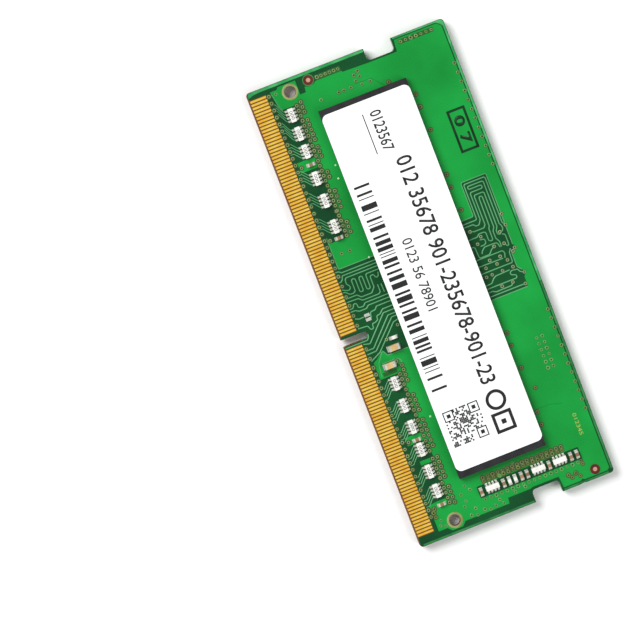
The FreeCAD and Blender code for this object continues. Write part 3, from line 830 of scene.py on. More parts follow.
frontFieldTraces = [
    [(30.7, 27.95), (30.2, 27.6), (23.2, 27.6), (23.2, 24.35), (28.55, 24.35), (28.55, 22.0)],
    [(31.35, 26.8), (31.4, 27.2), (31.0, 27.4), (30.6, 27.35), (30.2, 27.15), (23.65, 27.15),
     (23.65, 24.75), (24.1, 24.75), (24.1, 26.75), (24.6, 26.75), (24.6, 24.8), (28.7, 24.8), (29.35, 24.4),
     (29.35, 23.9), (29.0, 23.6), (29.0, 22.0)],
    [(31.7, 26.9), (31.6, 26.4), (31.0, 26.4), (30.5, 26.7), (25.15, 26.7), (25.15, 25.2), (29.6, 25.2),
     (30.0, 24.9), (30.0, 23.4), (29.8, 22.8)],
    [(33.4, 26.3), (32.6, 26.3), (32.0, 25.95), (30.9, 25.95), (30.4, 26.25), (25.6, 26.25), (25.6, 25.75),
     (30.0, 25.7), (30.4, 25.5), (32.0, 25.5), (32.15, 25.2), (31.9, 24.9), (30.7, 24.9), (30.55, 24.6),
     (30.55, 23.9), (30.9, 23.5), (30.9, 22.0)],
    [(31.75, 27.0), (31.95, 27.4), (33.5, 27.4), (33.65, 27.15), (33.1, 26.8)],
    [(33.4, 26.1), (32.7, 25.9), (32.6, 25.5), (32.6, 24.0), (33.0, 23.5), (33.4, 23.3)],
    [(33.0, 25.3), (33.3, 24.8), (33.85, 24.3), (33.85, 22.75), (32.1, 22.65), (32.0, 22.0)],
    [(31.4, 23.7), (31.5, 24.4), (32.1, 24.4), (32.3, 24.1), (32.3, 23.5)],
    [(34.0, 22.0), (34.0, 26.2), (34.4, 26.4), (35.1, 26.2)],
    [(34.1, 27.4), (34.6, 27.05), (36.1, 27.0), (36.1, 22.0)],
    [(35.05, 25.9), (35.0, 22.0)],
    [(38.0, 28.05), (37.7, 27.5), (37.25, 27.3), (37.15, 26.4), (37.35, 26.1), (37.7, 26.15),
     (37.95, 26.85), (38.4, 26.8), (38.4, 22.0)],
    [(36.95, 26.2), (37.05, 24.0), (37.3, 23.6), (37.85, 23.1), (37.9, 22.0)],
    [(38.75, 26.0), (39.15, 25.7), (39.2, 23.3), (38.95, 22.8), (38.95, 22.0)],
    [(39.6, 27.6), (39.6, 22.0)],
    [(28.55, 9.0), (28.55, 3.6), (28.25, 3.2), (28.25, 2.75)],
    [(29.0, 9.0), (29.0, 3.5), (29.5, 3.35), (29.8, 3.0), (29.8, 2.75)],
    [(29.45, 9.0), (29.45, 3.9), (29.7, 3.7), (30.3, 3.65), (30.65, 3.95), (31.0, 4.05), (31.3, 3.7),
     (31.1, 3.2), (30.85, 2.75)],
    [(29.95, 9.0), (29.95, 6.7), (32.1, 6.7), (32.1, 6.15), (30.0, 6.15), (30.0, 5.62), (32.1, 5.62),
     (32.1, 5.08), (29.95, 5.08), (29.95, 4.5), (31.7, 4.5), (31.9, 4.1), (31.85, 3.6), (31.35, 3.1),
     (31.3, 2.75)],
    [(30.3, 8.5), (30.9, 8.35), (31.0, 7.95), (30.4, 7.75), (30.45, 7.2), (32.1, 7.2), (32.8, 6.6),
     (32.8, 5.0), (32.3, 4.5), (32.3, 2.75)],
    [(31.95, 7.8), (33.1, 7.8), (33.3, 7.5), (33.3, 5.0), (32.85, 4.5), (32.8, 2.75)],
    [(32.0, 8.3), (33.3, 8.35)],
    [(33.75, 9.0), (33.75, 5.2), (34.15, 4.8), (34.1, 4.05), (33.35, 4.0), (33.35, 3.6), (33.9, 3.3),
     (33.9, 2.75)],
    [(34.25, 9.0), (34.25, 5.5), (34.6, 5.1), (34.6, 4.0), (34.3, 3.5), (34.3, 2.75)],
    [(34.8, 9.0), (34.8, 6.5), (35.2, 6.2), (35.3, 5.4), (36.1, 5.25)],
    [(35.5, 9.0), (35.5, 7.2), (36.05, 6.6), (36.1, 6.05), (36.7, 6.0), (36.9, 5.6), (36.95, 5.05),
     (37.6, 5.05), (37.7, 4.6), (37.0, 4.35), (36.9, 2.9)],
    [(36.05, 9.0), (36.05, 7.1), (39.5, 3.75), (39.25, 2.8)],
    [(36.6, 9.0), (36.6, 7.6), (40.3, 4.0), (40.3, 2.8)],
    [(37.05, 9.0), (37.05, 8.0), (40.8, 4.2), (40.85, 2.8)],
    [(37.6, 9.0), (37.8, 8.0), (41.2, 4.6), (41.95, 3.0)],
    [(35.6, 4.3), (35.65, 3.6), (35.4, 3.0)],
    [(38.9, 0.2), (38.9, 3.6), (38.5, 3.9), (38.1, 3.95)],
]


arrayFan = {"pitch": 0.5, "lean": 0.25, "frontReach": 1.0, "endReach": 1.5, "endZone": 8, "backReach": 1.05,
            "frontHeights": (4.25, 4.0, 3.35, 2.85), "backHeights": (4.4, 4.15, 3.5, 2.95)}


def arrayTraces(stations, heights, reach, endReach):
    # Four short traces from each array down to the contacts, leaning away from the middle.
    # The arrays in the end zone reach differently.
    lines = []
    pitch = arrayFan["pitch"]
    for station in stations:
        way = -1 if station < middleStation else 1
        run = way * (endReach if station < arrayFan["endZone"] else reach)
        for step in range(4):
            x = station - 1.5 * pitch + pitch * step
            lines.append(list(zip((x, x + arrayFan["lean"] * way, x + run, x + run), heights)))
    return lines


drawTraces("frontFieldTraces", frontFieldTraces, False, maskMaterials["frontTrace"], width=0.17, rise=0.035)
drawTraces("frontArrayTraces",
           arrayTraces(arrayStations, arrayFan["frontHeights"], arrayFan["frontReach"], arrayFan["endReach"]),
           False, maskMaterials["frontTrace"], width=0.12, rise=0.03, corner=0.1)
# Pale lines along the pour's edges: a painted highlight where those edges catch the light.
frontRims = [
    [(27.95, 22.0), (27.95, 24.05), (22.8, 24.05), (22.8, 27.9), (33.65, 27.9)],
    [(34.75, 27.35), (36.9, 27.35), (37.5, 27.85)],
    [(40.1, 27.8), (40.1, 22.0)],
    [(27.95, 9.0), (27.95, 3.35), (23.2, 3.35)],
    [(44.6, 3.6), (42.6, 3.9), (41.6, 4.6), (41.0, 5.05), (41.95, 5.5), (41.95, 8.6)],
    [(42.85, 4.3), (42.85, 6.6), (43.2, 7.0), (44.3, 7.1)],
    [(4.0, 4.1), (3.2, 3.75), (1.3, 3.4)],
]
drawTraces("frontRims", frontRims, False, maskMaterials["frontTrace"], width=0.13, rise=0.032)
frontGaps = [[(4.2, 15.0), (4.3, 17.5), (5.9, 18.9)], [(57.1, 22.4), (57.1, 24.6), (57.6, 26.4)]]
drawTraces("frontGaps", frontGaps, False, maskMaterials["frontLaminate"], width=0.1, rise=0.024)
print("front traces drawn")

# Print: digits, bars and plain shapes stand where the words and marks are

printRise = 0.008


def joinMeshes(name, meshes):
    joined = bmesh.new()
    for mesh in meshes:
        joined.from_mesh(mesh)
    result = bpy.data.meshes.new(name)
    joined.to_mesh(result)
    joined.free()
    return result


def textMesh(body, x0, x1, y0, y1, height, behind=False, thickness=printRise, weight=0.0, turned=False):
    # Digits stretched to fill a box. Turned, they read upwards.
    curve = bpy.data.curves.new("lettering", "FONT")
    curve.body = body
    curve.size = 1
    curve.resolution_u = 3
    curve.offset = weight
    mesh = takeMesh(linkObject("lettering", curve))
    xs = [vertex.co.x for vertex in mesh.vertices]
    ys = [vertex.co.y for vertex in mesh.vertices]
    left, low, wide, tall = min(xs), min(ys), max(xs) - min(xs), max(ys) - min(ys)
    for vertex in mesh.vertices:
        across = (vertex.co.x - left) / wide
        up = (vertex.co.y - low) / tall
        if turned:
            across, up = 1 - up, across
        vertex.co = (*place(x0 + across * (x1 - x0), y0 + up * (y1 - y0), behind), height)
    return raiseMesh(mesh, thickness, facing(behind)[1])


def raiseMesh(mesh, thickness, outward):
    # Gives a flat mesh a thickness along Z, closed all round. The extrude operator would put its
    # points in a different order on each run. New faces take their shading from the flat ones.
    work = bmesh.new()
    work.from_mesh(mesh)
    bmesh.ops.remove_doubles(work, verts=work.verts, dist=1e-8)
    flats = work.faces[:]
    rims = [edge for edge in work.edges if edge.is_boundary]
    lift = Vector((0, 0, outward * thickness * mm))
    raised = {vertex: work.verts.new(vertex.co + lift) for vertex in work.verts[:]}
    for flat in flats:
        work.faces.new([raised[vertex] for vertex in flat.verts], flat)
    for rim in rims:
        first, last = rim.verts
        work.faces.new((first, last, raised[last], raised[first]), rim.link_faces[0])
    bmesh.ops.recalc_face_normals(work, faces=work.faces)
    work.to_mesh(mesh)
    work.free()
    return mesh


def barMesh(x0, x1, y0, y1, height, behind=False):
    corners = [(*place(x, y, behind), height) for x, y in boxOutline(x0, x1, y0, y1)]
    mesh = bpy.data.meshes.new("bar")
    mesh.from_pydata(corners, [], [(0, 1, 2, 3)])
    return raiseMesh(mesh, printRise, facing(behind)[1])


def frameMesh(outlines, height):
    return sheetMesh("frame", outlines, height + printRise / 2 * mm, printRise, False, edge=0.001)


def boxFrame(x0, x1, y0, y1, stroke, height):
    inner = boxOutline(x0 + stroke, x1 - stroke, y0 + stroke, y1 - stroke)
    return frameMesh([boxOutline(x0, x1, y0, y1), inner], height)


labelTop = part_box("label_face")[1].z
labelLook = {
    "word": ("0123567", 8.65, 14.65, 15.3, 17.0),
    "line": (8.6, 14.6, 14.27, 14.41),
    "code": ("012 35678 901-235678-901-23", 16.1, 50.85, 16.4, 18.75),
    "small": ("0123 56 78901", 27.25, 38.15, 13.1, 14.6),
    "bold": 0.012,
    "light": 0.006,
    "bars": (17.85, 49.15, 9.45, 11.75),
    "barWidths": (0.14, 0.14, 0.34, 0.34, 0.6, 0.82),
    "gapWidths": (0.3, 0.42, 0.62, 0.8),
    "lastBar": 0.34,
    "barMargin": 1.4,
    "mark": (51.95, 58.25, 15.35, 19.85),
    "markReach": 1.5,
    "markStroke": 0.46,
    "markDot": 0.35,
    "square": (52.45, 57.8, 9.65, 14.95),
    "squareCells": 21,
    "cellShare": 0.92,
    "cellChance": 0.42,
    "cornerCells": 6,
    "cornerStroke": 0.16,
    "cornerDot": (0.32, 0.68),
    "seed": 11,
}


def barPlaces(total, chance):
    # Random bars and gaps up to the last bar, which ends the row.
    places = []
    used = 0
    while used < total - labelLook["barMargin"]:
        bar = chance.choice(labelLook["barWidths"])
        gap = chance.choice(labelLook["gapWidths"])
        places.append((used, bar))
        used += bar + gap
    places.append((total - labelLook["lastBar"], labelLook["lastBar"]))
    return places


def labelMark():
    # A ring beside an open square with a block in it.
    x0, x1, y0, y1 = labelLook["mark"]
    middle = (y0 + y1) / 2
    reach, stroke, dot = labelLook["markReach"], labelLook["markStroke"], labelLook["markDot"]
    left, right = (x0 + reach, middle), x1 - reach
    return [frameMesh(ringPair(left, reach, reach - stroke, (40, 40)), labelTop),
            boxFrame(right - reach, right + reach, middle - reach, middle + reach, stroke, labelTop),
            barMesh(right - dot, right + dot, middle - dot, middle + dot, labelTop)]


def labelSquare(chance):
    # A square of random cells with a framed block in three corners.
    x0, x1, y0, y1 = labelLook["square"]
    cells, block = labelLook["squareCells"], labelLook["cornerCells"]
    cell = (x1 - x0) / cells
    share = labelLook["cellShare"]
    corners = ((0, 0), (0, cells - block), (cells - block, cells - block))
    meshes = []
    for column in range(cells):
        for row in range(cells):
            inCorner = any(a <= column < a + block and b <= row < b + block for a, b in corners)
            if not inCorner and chance.random() < labelLook["cellChance"]:
                meshes.append(barMesh(x0 + column * cell, x0 + (column + share) * cell, y0 + row * cell,
                                      y0 + (row + share) * cell, labelTop))
    size = block * cell
    near, far = (size * part for part in labelLook["cornerDot"])
    for a, b in corners:
        left, low = x0 + a * cell, y0 + b * cell
        meshes.append(boxFrame(left, left + size, low, low + size, labelLook["cornerStroke"], labelTop))
        meshes.append(barMesh(left + near, left + far, low + near, low + far, labelTop))
    return meshes


def buildLabelPrint():
    look = labelLook
    chance = random.Random(look["seed"])
    meshes = [textMesh(*look["word"], labelTop, weight=look["bold"]),
              textMesh(*look["code"], labelTop, weight=look["bold"]),
              textMesh(*look["small"], labelTop, weight=look["light"]), barMesh(*look["line"], labelTop)]
    x0, x1, y0, y1 = look["bars"]
    meshes += [barMesh(x0 + start, x0 + start + width, y0, y1, labelTop)
               for start, width in barPlaces(x1 - x0, chance)]
    meshes += labelMark() + labelSquare(chance)
    keepPiece("labelPrint", joinMeshes("labelPrint", meshes), finishes["blackInk"])


buildLabelPrint()
boardPrint = {
    "stamp": (12.6, 18.95, 25.7, 28.45),
    "stampStroke": 0.36,
    "stampRows": (26.3, 27.85),
    "stampDigits": (("0", 13.7, 15.3), ("7", 16.3, 17.9)),
    "stampWeight": 0.035,
    "number": ("012345", 59.6, 62.9, 27.2, 27.75),
    "arrayRows": (4.82, 5.3),
    "arrayReach": 0.62,
}


def buildBoardPrint():
    look = boardPrint
    top = frontFace + sheetRise * mm
    stamp = [boxFrame(*look["stamp"], look["stampStroke"], top)]
    stamp += [textMesh(*digit, *look["stampRows"], top, weight=look["stampWeight"])
              for digit in look["stampDigits"]]
    keepPiece("frontStamp", joinMeshes("frontStamp", stamp), finishes["stampInk"])
    keepPiece("frontNumber", textMesh(*look["number"], top), finishes["yellowPrint"])
    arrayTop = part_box("arrays_front_bodies")[1].z
    reach = look["arrayReach"]
    numbers = [textMesh("000", x - reach, x + reach, *look["arrayRows"], arrayTop, thickness=0.004)
               for x in arrayStations]
    keepPiece("arrayNumbers", joinMeshes("arrayNumbers", numbers), finishes["greyInk"])


buildBoardPrint()
print("label and board printed")

# Back face: copper pour, border and marks

backStations = [boardLength - station for station in arrayStations]
backSites = [boardLength - station for station in packageStations]
backPour = {
    "outline": [(1.0, 2.95), (2.7, 2.95), (2.9, 4.1), (4.5, 4.2), (4.5, 6.6), (24.75, 6.6), (24.75, 5.6),
                (25.6, 5.1), (26.05, 5.2), (26.95, 6.2), (27.1, 7.1), (28.25, 8.3), (28.4, 9.2),
                (29.3, 10.1), (29.3, 12.3), (28.85, 12.9), (28.9, 13.5), (29.55, 14.3), (29.6, 15.0),
                (29.55, 17.9), (29.95, 18.1), (29.95, 22.4), (29.3, 23.1), (29.1, 24.3), (28.4, 25.0),
                (28.4, 26.7), (28.7, 27.0), (29.3, 27.05), (29.8, 27.75), (34.4, 27.7), (34.9, 28.1),
                (35.4, 27.7), (40.2, 27.7), (40.35, 28.2), (40.9, 28.2), (41.0, 27.6), (41.0, 22.1),
                (41.6, 21.3), (41.6, 3.05), (46.9, 3.05), (46.9, 3.5), (46.2, 3.6), (46.2, 6.6),
                (56.1, 6.6), (56.0, 4.0), (57.0, 3.4), (57.7, 3.5), (57.85, 6.6), (65.75, 6.6),
                (65.75, 4.5), (67.0, 3.9), (67.9, 2.95), (68.6, 2.95), (68.6, 4.7), (68.85, 5.3),
                (68.85, 6.7), (68.6, 7.3), (68.6, 8.05), (67.9, 8.1), (67.4, 8.6), (67.4, 9.4),
                (67.9, 9.95), (68.6, 10.0), (68.6, 14.3), (67.45, 14.5), (67.45, 22.1), (67.9, 22.4),
                (69.15, 22.5), (69.15, 29.1), (68.8, 29.55), (0.9, 29.55), (0.35, 28.9), (0.35, 22.6),
                (1.9, 22.3), (2.2, 21.9), (2.2, 18.0), (1.9, 17.8), (1.9, 14.2), (1.0, 13.8)],
    "holeOpening": 1.14,
    "seed": 4,
    "dotOpening": 0.93,
    "columnOpening": [(3.3, 8.4), (4.5, 8.3), (4.6, 9.4), (6.3, 9.6), (6.4, 24.6), (5.9, 25.9), (5.4, 26.4),
                      (3.3, 26.4)],
    "bulkOpening": (44.0, 45.1, 4.5, 6.7),
}
# Chip parts stand in a column either side of each memory package
partSites = {
    "offset": 4.45,
    "farHeights": (11.0, 12.95, 16.1, 17.9, 19.6),
    "lastFarHeights": (10.25, 16.0, 17.9),
    "nearHeights": (9.75, 11.4, 13.05, 14.75, 16.5, 21.0),
    "lone": (backSites[0] + 4.45, 18.75),
    "clearOfColumn": 7.5,
}
# Sizes of the bare patch under each chip part; its dark width past the part is partly painted shade.
partPatch = {"halfWidth": (0.42, 0.62), "waist": 0.37, "waistEnd": 0.22, "padStart": 0.42, "padEnd": 0.79}
partEars = {"reach": 0.62, "drop": 0.72, "every": 3}


def partSpots():
    spots = []
    for site in backSites:
        heights = partSites["farHeights"] if site > backSites[-1] else partSites["lastFarHeights"]
        spots += [(site - partSites["offset"], y) for y in heights]
        spots += [(site + partSites["offset"], y) for y in partSites["nearHeights"]]
    return spots + [partSites["lone"]]


def partOpening(x, y, chance):
    # The bare patch under a chip part: wider at the two pads, narrow at the waist. It is a clearance in the
    # copper, made wide enough that its dark border also serves as painted shade round the part.
    look = partPatch
    low, high = chance.uniform(*look["halfWidth"]), chance.uniform(*look["halfWidth"])
    waist, waistEnd, padStart, padEnd = look["waist"], look["waistEnd"], look["padStart"], look["padEnd"]
    right = [(low, -padEnd), (low, -padStart), (waist, -waistEnd), (waist, waistEnd), (high, padStart),
             (high, padEnd)]
    return ([(x + across, y + up) for across, up in right]
            + [(x - across, y + up) for across, up in reversed(right)])


def buildBackPour():
    chance = random.Random(backPour["seed"])
    openings = [ringOutline(x, y, backPour["holeOpening"]) for x, y in holeSpots]
    openings.append(ringOutline(*backDots[0], backPour["dotOpening"]))
    openings.append(backPour["columnOpening"])
    openings += [partOpening(x, y, chance) for x, y in partSpots() if x > partSites["clearOfColumn"]]
    openings.append(boxOutline(*backPour["bulkOpening"]))
    layerSheet("backPour", [backPour["outline"]] + openings, True, maskMaterials["backCopper"])


buildBackPour()


def partEarSpots():
    # Two small vias at one end of every third chip part.
    spots = []
    for x, y in partSpots()[::partEars["every"]]:
        if x > partSites["clearOfColumn"]:
            spots += [(x + side * partEars["reach"], y + partEars["drop"]) for side in (-1, 1)]
    return spots


backBorder = maskMaterial("backBorder", (tone(34, 36, 6), tone(64, 62, 14)), 0.4, 0.15)
topStrip = maskMaterial("backTopStrip", (tone(88, 136, 60), tone(120, 160, 84)), 0.3)
backCorner = maskMaterial("backCorner", (tone(128, 84, 22), tone(150, 110, 40)), 0.3)
brownPatch = maskMaterial("backBrown", (tone(40, 34, 14), tone(76, 60, 34)), 0.4, 0.15)
layerSheet("backBorder", [boxOutline(0.12, 0.95, 0.5, 13.7), boxOutline(68.66, 69.45, 0.5, 14.2),
                          boxOutline(69.2, 69.45, 22.6, 28.9), boxOutline(0.12, 0.3, 22.6, 28.9)],
           True, backBorder)
layerSheet("backTopStrip", [boxOutline(1.0, 68.2, 29.61, 29.8)], True, topStrip)
layerSheet("backCorners", [[(68.75, 29.85), (69.45, 29.3), (69.45, 28.95), (69.2, 28.95), (68.3, 29.6)],
                           [(0.12, 28.9), (0.3, 28.9), (1.0, 29.62), (0.9, 29.85), (0.4, 29.85),
                            (0.12, 29.5)],
                           boxOutline(30.3, 30.98, 0.2, 2.85), boxOutline(31.98, 32.35, 0.2, 2.85)],
           True, backCorner)
layerSheet("backBrownField", [boxOutline(5.35, 6.35, 12.0, 24.9), boxOutline(2.95, 4.6, 3.0, 4.05)],
           True, brownPatch, rise=0.01)
surroundDots("backDotSurround", backDots, True, 0.9, 0.36, finishes["darkSurround"])
holeRims("backHoleRims", True, 1.27, finishes["copperRim"])
print("back pour laid")

# Back face: vias

# Vias round each memory package: how far along from its middle, and at which heights
sitePattern = {
    -3.6: (20.95,),
    -2.8: (20.95, 19.35, 17.75, 16.15, 14.55, 13.75, 12.95, 12.15, 11.35, 10.55, 9.75),
    -2.0: (21.75, 20.15, 18.55, 17.0, 14.55, 13.75, 12.95, 12.15, 11.35, 10.55, 9.75),
    -1.2: (12.15,),
    -0.9: (22.75, 21.75, 20.75, 19.5, 18.55, 17.35, 16.55),
    0.1: (13.85, 13.3, 10.05, 9.4),
    0.9: (22.75, 21.75, 20.75, 19.5, 18.55, 17.35),
    1.2: (13.75, 12.15, 11.35),
    2.0: (20.95, 20.15, 18.55, 16.95, 16.15, 14.5, 13.75, 12.15, 11.35, 10.5, 9.75),
    2.8: (21.75, 19.35, 17.75, 16.15, 14.5, 13.75, 12.15, 11.35, 10.5, 9.75),
}
dotPattern = {
    -3.6: (21.8, 19.35, 17.75, 16.2, 14.5, 13.75, 12.95, 12.15, 11.35, 9.75),
    -1.0: (10.5,),
    1.2: (14.5,),
    3.6: (18.55, 13.75, 12.95, 10.5),
}


def patternSpots(pattern):
    return [(site + offset, y) for site in backSites for offset, heights in pattern.items() for y in heights]


siteSpots = patternSpots(sitePattern) + [(17.55 + 0.93 * step, y) for step in range(8) for y in (27.4, 26.5)]
siteSpots += [(15.45, 23.8), (18.8, 22.95), (43.2, 22.95), (55.4, 22.9), (31.6, 28.1), (35.1, 28.1),
              (38.95, 28.1), (40.55, 28.2), (66.2, 16.2), (66.9, 16.1), (65.9, 15.6), (66.6, 15.5),
              (7.5, 22.95), (7.5, 21.0), (27.4, 8.5), (25.6, 7.0), (45.6, 8.95)]
setVias("backSiteVias", siteSpots, "backPour", True, skirt=0.42, outer=0.335, inner=0.24, seed=12)
smallSpots = patternSpots(dotPattern)
smallSpots += alongRow(29.35, span(10.15, 25.4, 12)) + alongRow(29.4, span(47.7, 63.1, 12))
smallSpots += [(68.2, y) for y in span(10.3, 13.5, 5)] + [(68.75, y) for y in span(23.2, 28.0, 7)]
smallSpots += [(2.0, 10.1), (1.4, 9.6), (1.8, 8.6), (2.4, 9.5), (3.2, 8.1), (1.4, 10.9), (2.0, 13.1),
               (1.3, 12.4), (2.6, 15.7), (2.2, 16.6), (2.4, 17.4), (3.5, 5.4), (2.4, 26.0), (1.1, 26.1),
               (1.0, 24.4), (2.0, 24.4)]
smallSpots += [(3.15, y) for y in span(10.6, 24.2, 16)] + [(42.2, 16.1), (42.8, 16.1), (43.0, 15.2)]
smallSpots += partEarSpots()
setVias("backSmallVias", smallSpots, "backPour", True, skirt=0.3, outer=0.2, inner=0.13, seed=13)
backBand = span(4.6, 24.3, 27) + span(46.3, 66.0, 27)
backCrest = (span(4.6, 6.4, 3) + span(8.4, 11.2, 5) + span(13.2, 17.0, 6) + span(18.6, 21.3, 5)
             + span(23.2, 24.9, 3) + span(46.2, 47.7, 3) + span(49.9, 52.3, 4) + span(54.3, 55.4, 2)
             + span(57.4, 60.2, 5) + span(60.9, 63.0, 4) + span(64.0, 66.2, 4))
backContactVias = [3.5 + 1.05 * step for step in range(21)]
backContactVias += [26.7, 28.1, 29.6, 33.1, 34.7, 36.2, 37.6, 39.1, 40.7]
backContactVias += [47.0 + 1.0 * step for step in range(21)]
bandSpots = alongRow(3.1, backContactVias) + alongRow(6.35, backBand) + alongRow(7.0, backCrest)
bandSpots += [(5.75, y) for y in span(12.3, 24.6, 17)] + [(6.15, y) for y in span(12.7, 24.9, 17)]
bandSpots += [(27.05, 4.85), (24.9, 4.3), (4.7, 3.8), (3.6, 3.5)]
bandSpots += alongRow(3.05, (41.9, 43.0, 44.0, 45.2, 46.1))
setVias("backBandVias", bandSpots, "backBand", True, skirt=0.4, outer=0.22, inner=0.14, spread=0.16, seed=14)
channelSpots = [(29.6, 23.7), (30.75, 24.5), (30.8, 26.2), (34.1, 23.4), (34.9, 25.8), (36.5, 25.4),
                (33.0, 22.8), (36.2, 23.2), (36.6, 27.0), (38.3, 26.9), (38.6, 24.1), (37.8, 23.3),
                (39.7, 22.9), (38.9, 22.5), (33.05, 23.5), (31.65, 10.4), (29.6, 6.35), (30.1, 13.1),
                (30.5, 13.1), (30.9, 13.1), (29.8, 8.7), (30.4, 8.7), (31.4, 8.7)]
setVias("backFieldVias", channelSpots, "backField", True, skirt=0.28, outer=0.2, inner=0.1, seed=15)
print("back vias set")

# Back face: traces


def serpentine(left, right, top, bottom, turns, startRight=True):
    # A line that runs to and fro between two sides, from the top to the bottom.
    points = []
    step = (top - bottom) / turns
    side = startRight
    for turn in range(turns + 1):
        y = top - step * turn
        points += [(left if side else right, y), (right if side else left, y)]
        side = not side
    return points


upperComb = serpentine(34.05, 36.25, 20.6, 18.4, 4, False)
rightComb = serpentine(36.7, 39.5, 21.1, 17.85, 6, False)
backFieldTraces = [
    [(29.6, 23.7), (29.8, 23.1), (30.25, 22.6), (30.25, 13.7), (30.15, 13.3), (30.15, 9.9), (29.4, 9.2),
     (29.3, 7.6), (28.0, 6.4), (27.9, 5.0), (27.1, 4.1), (27.0, 2.9)],
    [(33.2, 26.9), (32.8, 27.3), (30.1, 27.35), (29.9, 27.05), (30.2, 26.85), (31.1, 26.8), (31.3, 26.3),
     (31.25, 25.2), (30.8, 24.9), (30.4, 25.2), (30.3, 26.2), (29.9, 26.1), (29.85, 25.6), (29.6, 25.4),
     (29.3, 25.7), (29.2, 26.55), (28.75, 26.6), (28.7, 25.2), (29.0, 25.0), (29.7, 25.0), (30.05, 24.6),
     (30.2, 23.7), (30.7, 23.1), (30.7, 13.0), (30.65, 9.7), (30.1, 9.0), (30.1, 7.5), (28.9, 6.3),
     (28.6, 5.3), (28.5, 4.2), (27.6, 3.4), (27.55, 2.9)],
    [(30.75, 24.5), (31.5, 24.45), (31.65, 24.1), (31.15, 23.5), (31.15, 9.8), (30.95, 9.2), (30.95, 7.4),
     (29.4, 5.8), (28.95, 4.8), (28.85, 3.9), (28.5, 3.3), (28.5, 2.9)],
    [(34.1, 26.8), (36.1, 26.8), (36.5, 26.5), (40.1, 26.5), (40.1, 27.35), (33.9, 27.35), (33.4, 27.1),
     (33.2, 26.5), (32.6, 26.5), (32.2, 26.85), (31.8, 26.5), (32.25, 25.6), (32.1, 25.0), (32.05, 23.7),
     (31.65, 23.2), (31.65, 14.1), (32.1, 13.4), (32.1, 12.6), (31.7, 12.0), (31.75, 11.5), (32.2, 10.9),
     (32.1, 9.9), (32.3, 9.3), (32.2, 8.8), (31.5, 8.2), (31.4, 6.6), (29.6, 4.9), (29.4, 3.7), (29.1, 3.2),
     (29.1, 2.9)],
    [(33.0, 25.4), (33.6, 26.05), (34.5, 26.05), (35.0, 26.3), (35.65, 26.3), (35.7, 25.9), (35.35, 25.4),
     (35.2, 24.6), (34.75, 24.5), (34.5, 25.1), (34.1, 25.35), (33.5, 25.1), (33.2, 24.85), (32.6, 24.8),
     (32.5, 23.5), (32.2, 22.9), (32.5, 22.0), (32.1, 21.4), (32.1, 14.1), (32.6, 13.4), (32.6, 12.5),
     (32.3, 11.8), (32.7, 11.1), (32.7, 7.0), (32.0, 6.8), (32.1, 6.4), (32.5, 6.3), (32.5, 5.9),
     (31.7, 5.8), (31.0, 5.3), (30.9, 4.4), (30.1, 4.3), (30.0, 3.8), (30.3, 3.3), (30.3, 2.9)],
    [(33.1, 23.5), (33.35, 22.9), (33.35, 22.0), (32.6, 21.2), (32.6, 15.0), (33.1, 14.2), (33.1, 5.4),
     (32.5, 5.2), (31.8, 5.1), (31.8, 4.8), (32.4, 4.6), (33.0, 4.1), (32.9, 3.6), (32.6, 3.1)],
    [(34.1, 23.3), (33.75, 22.8), (33.75, 21.9), (33.0, 21.0), (33.0, 18.1), (34.0, 17.95), (34.0, 17.4)]
    + serpentine(33.1, 34.7, 17.4, 15.3, 4, False)[1:] + serpentine(33.4, 34.8, 14.6, 5.55, 17, True)[:-1]
    + [(34.75, 3.9), (35.1, 3.1)],
    [(33.8, 24.7), (33.5, 24.2), (33.8, 23.8), (34.4, 23.5), (34.5, 22.2), (34.2, 21.4), (33.45, 20.6),
     (33.45, 18.7), (34.1, 18.4), (34.3, 17.5), (35.15, 17.3), (35.15, 4.3), (35.5, 3.8), (36.4, 3.6),
     (36.55, 2.9)],
    [(36.3, 22.6), (35.0, 22.65), (35.0, 21.1), (36.2, 21.0)] + upperComb[:-1]
    + [(34.9, 18.4), (34.9, 17.8), (35.6, 17.7), (35.65, 4.5), (36.0, 4.1), (36.9, 4.0), (37.0, 2.9)],
    [(40.1, 26.0), (36.3, 25.95), (36.2, 25.0), (35.8, 24.5), (35.75, 23.9), (35.3, 23.7), (35.0, 24.2)],
    [(40.1, 25.4), (40.1, 25.95)],
    [(40.1, 25.4), (37.1, 25.4), (36.9, 24.7), (36.5, 24.3), (36.5, 22.7), (36.3, 22.6)],
    [(38.6, 24.1), (40.1, 24.15), (40.1, 24.85), (37.5, 24.85), (37.4, 24.4), (37.4, 22.3), (35.8, 22.2),
     (35.8, 21.7), (38.5, 21.65), (38.5, 21.15)] + rightComb[1:-1]
    + [(36.3, 17.85), (36.3, 17.3), (37.8, 17.2), (37.8, 16.2), (37.1, 16.15), (36.9, 16.7), (36.25, 16.7),
       (36.2, 5.2), (36.5, 4.75), (37.2, 4.7), (38.0, 4.85), (38.2, 4.4), (38.2, 2.9)],
    [(37.8, 23.3), (38.4, 23.2), (38.5, 22.4), (39.9, 21.0)]
    + serpentine(38.4, 39.8, 16.7, 15.6, 2, True)[1:-1] + [(38.9, 15.45)]
    + serpentine(36.75, 38.9, 15.0, 5.35, 15, False) + [(38.9, 4.9), (38.8, 4.3), (38.6, 2.9)],
    [(40.55, 28.0), (40.55, 23.9), (40.1, 23.6), (39.3, 23.5), (39.2, 22.8), (40.75, 21.3), (40.75, 15.0)]
    + serpentine(39.75, 40.8, 14.5, 4.4, 19, False) + [(40.6, 3.6), (40.15, 3.3), (40.1, 2.9)],
    [(39.7, 22.9), (41.2, 21.3), (41.2, 3.3), (41.4, 2.9)],
    [(40.35, 21.1), (40.35, 16.0), (39.9, 15.4), (39.3, 14.8), (39.3, 3.8), (39.5, 3.3)],
]
drawTraces("backFieldTraces", backFieldTraces, True, maskMaterials["backTrace"], width=0.165, rise=0.035,
           corner=0.24)
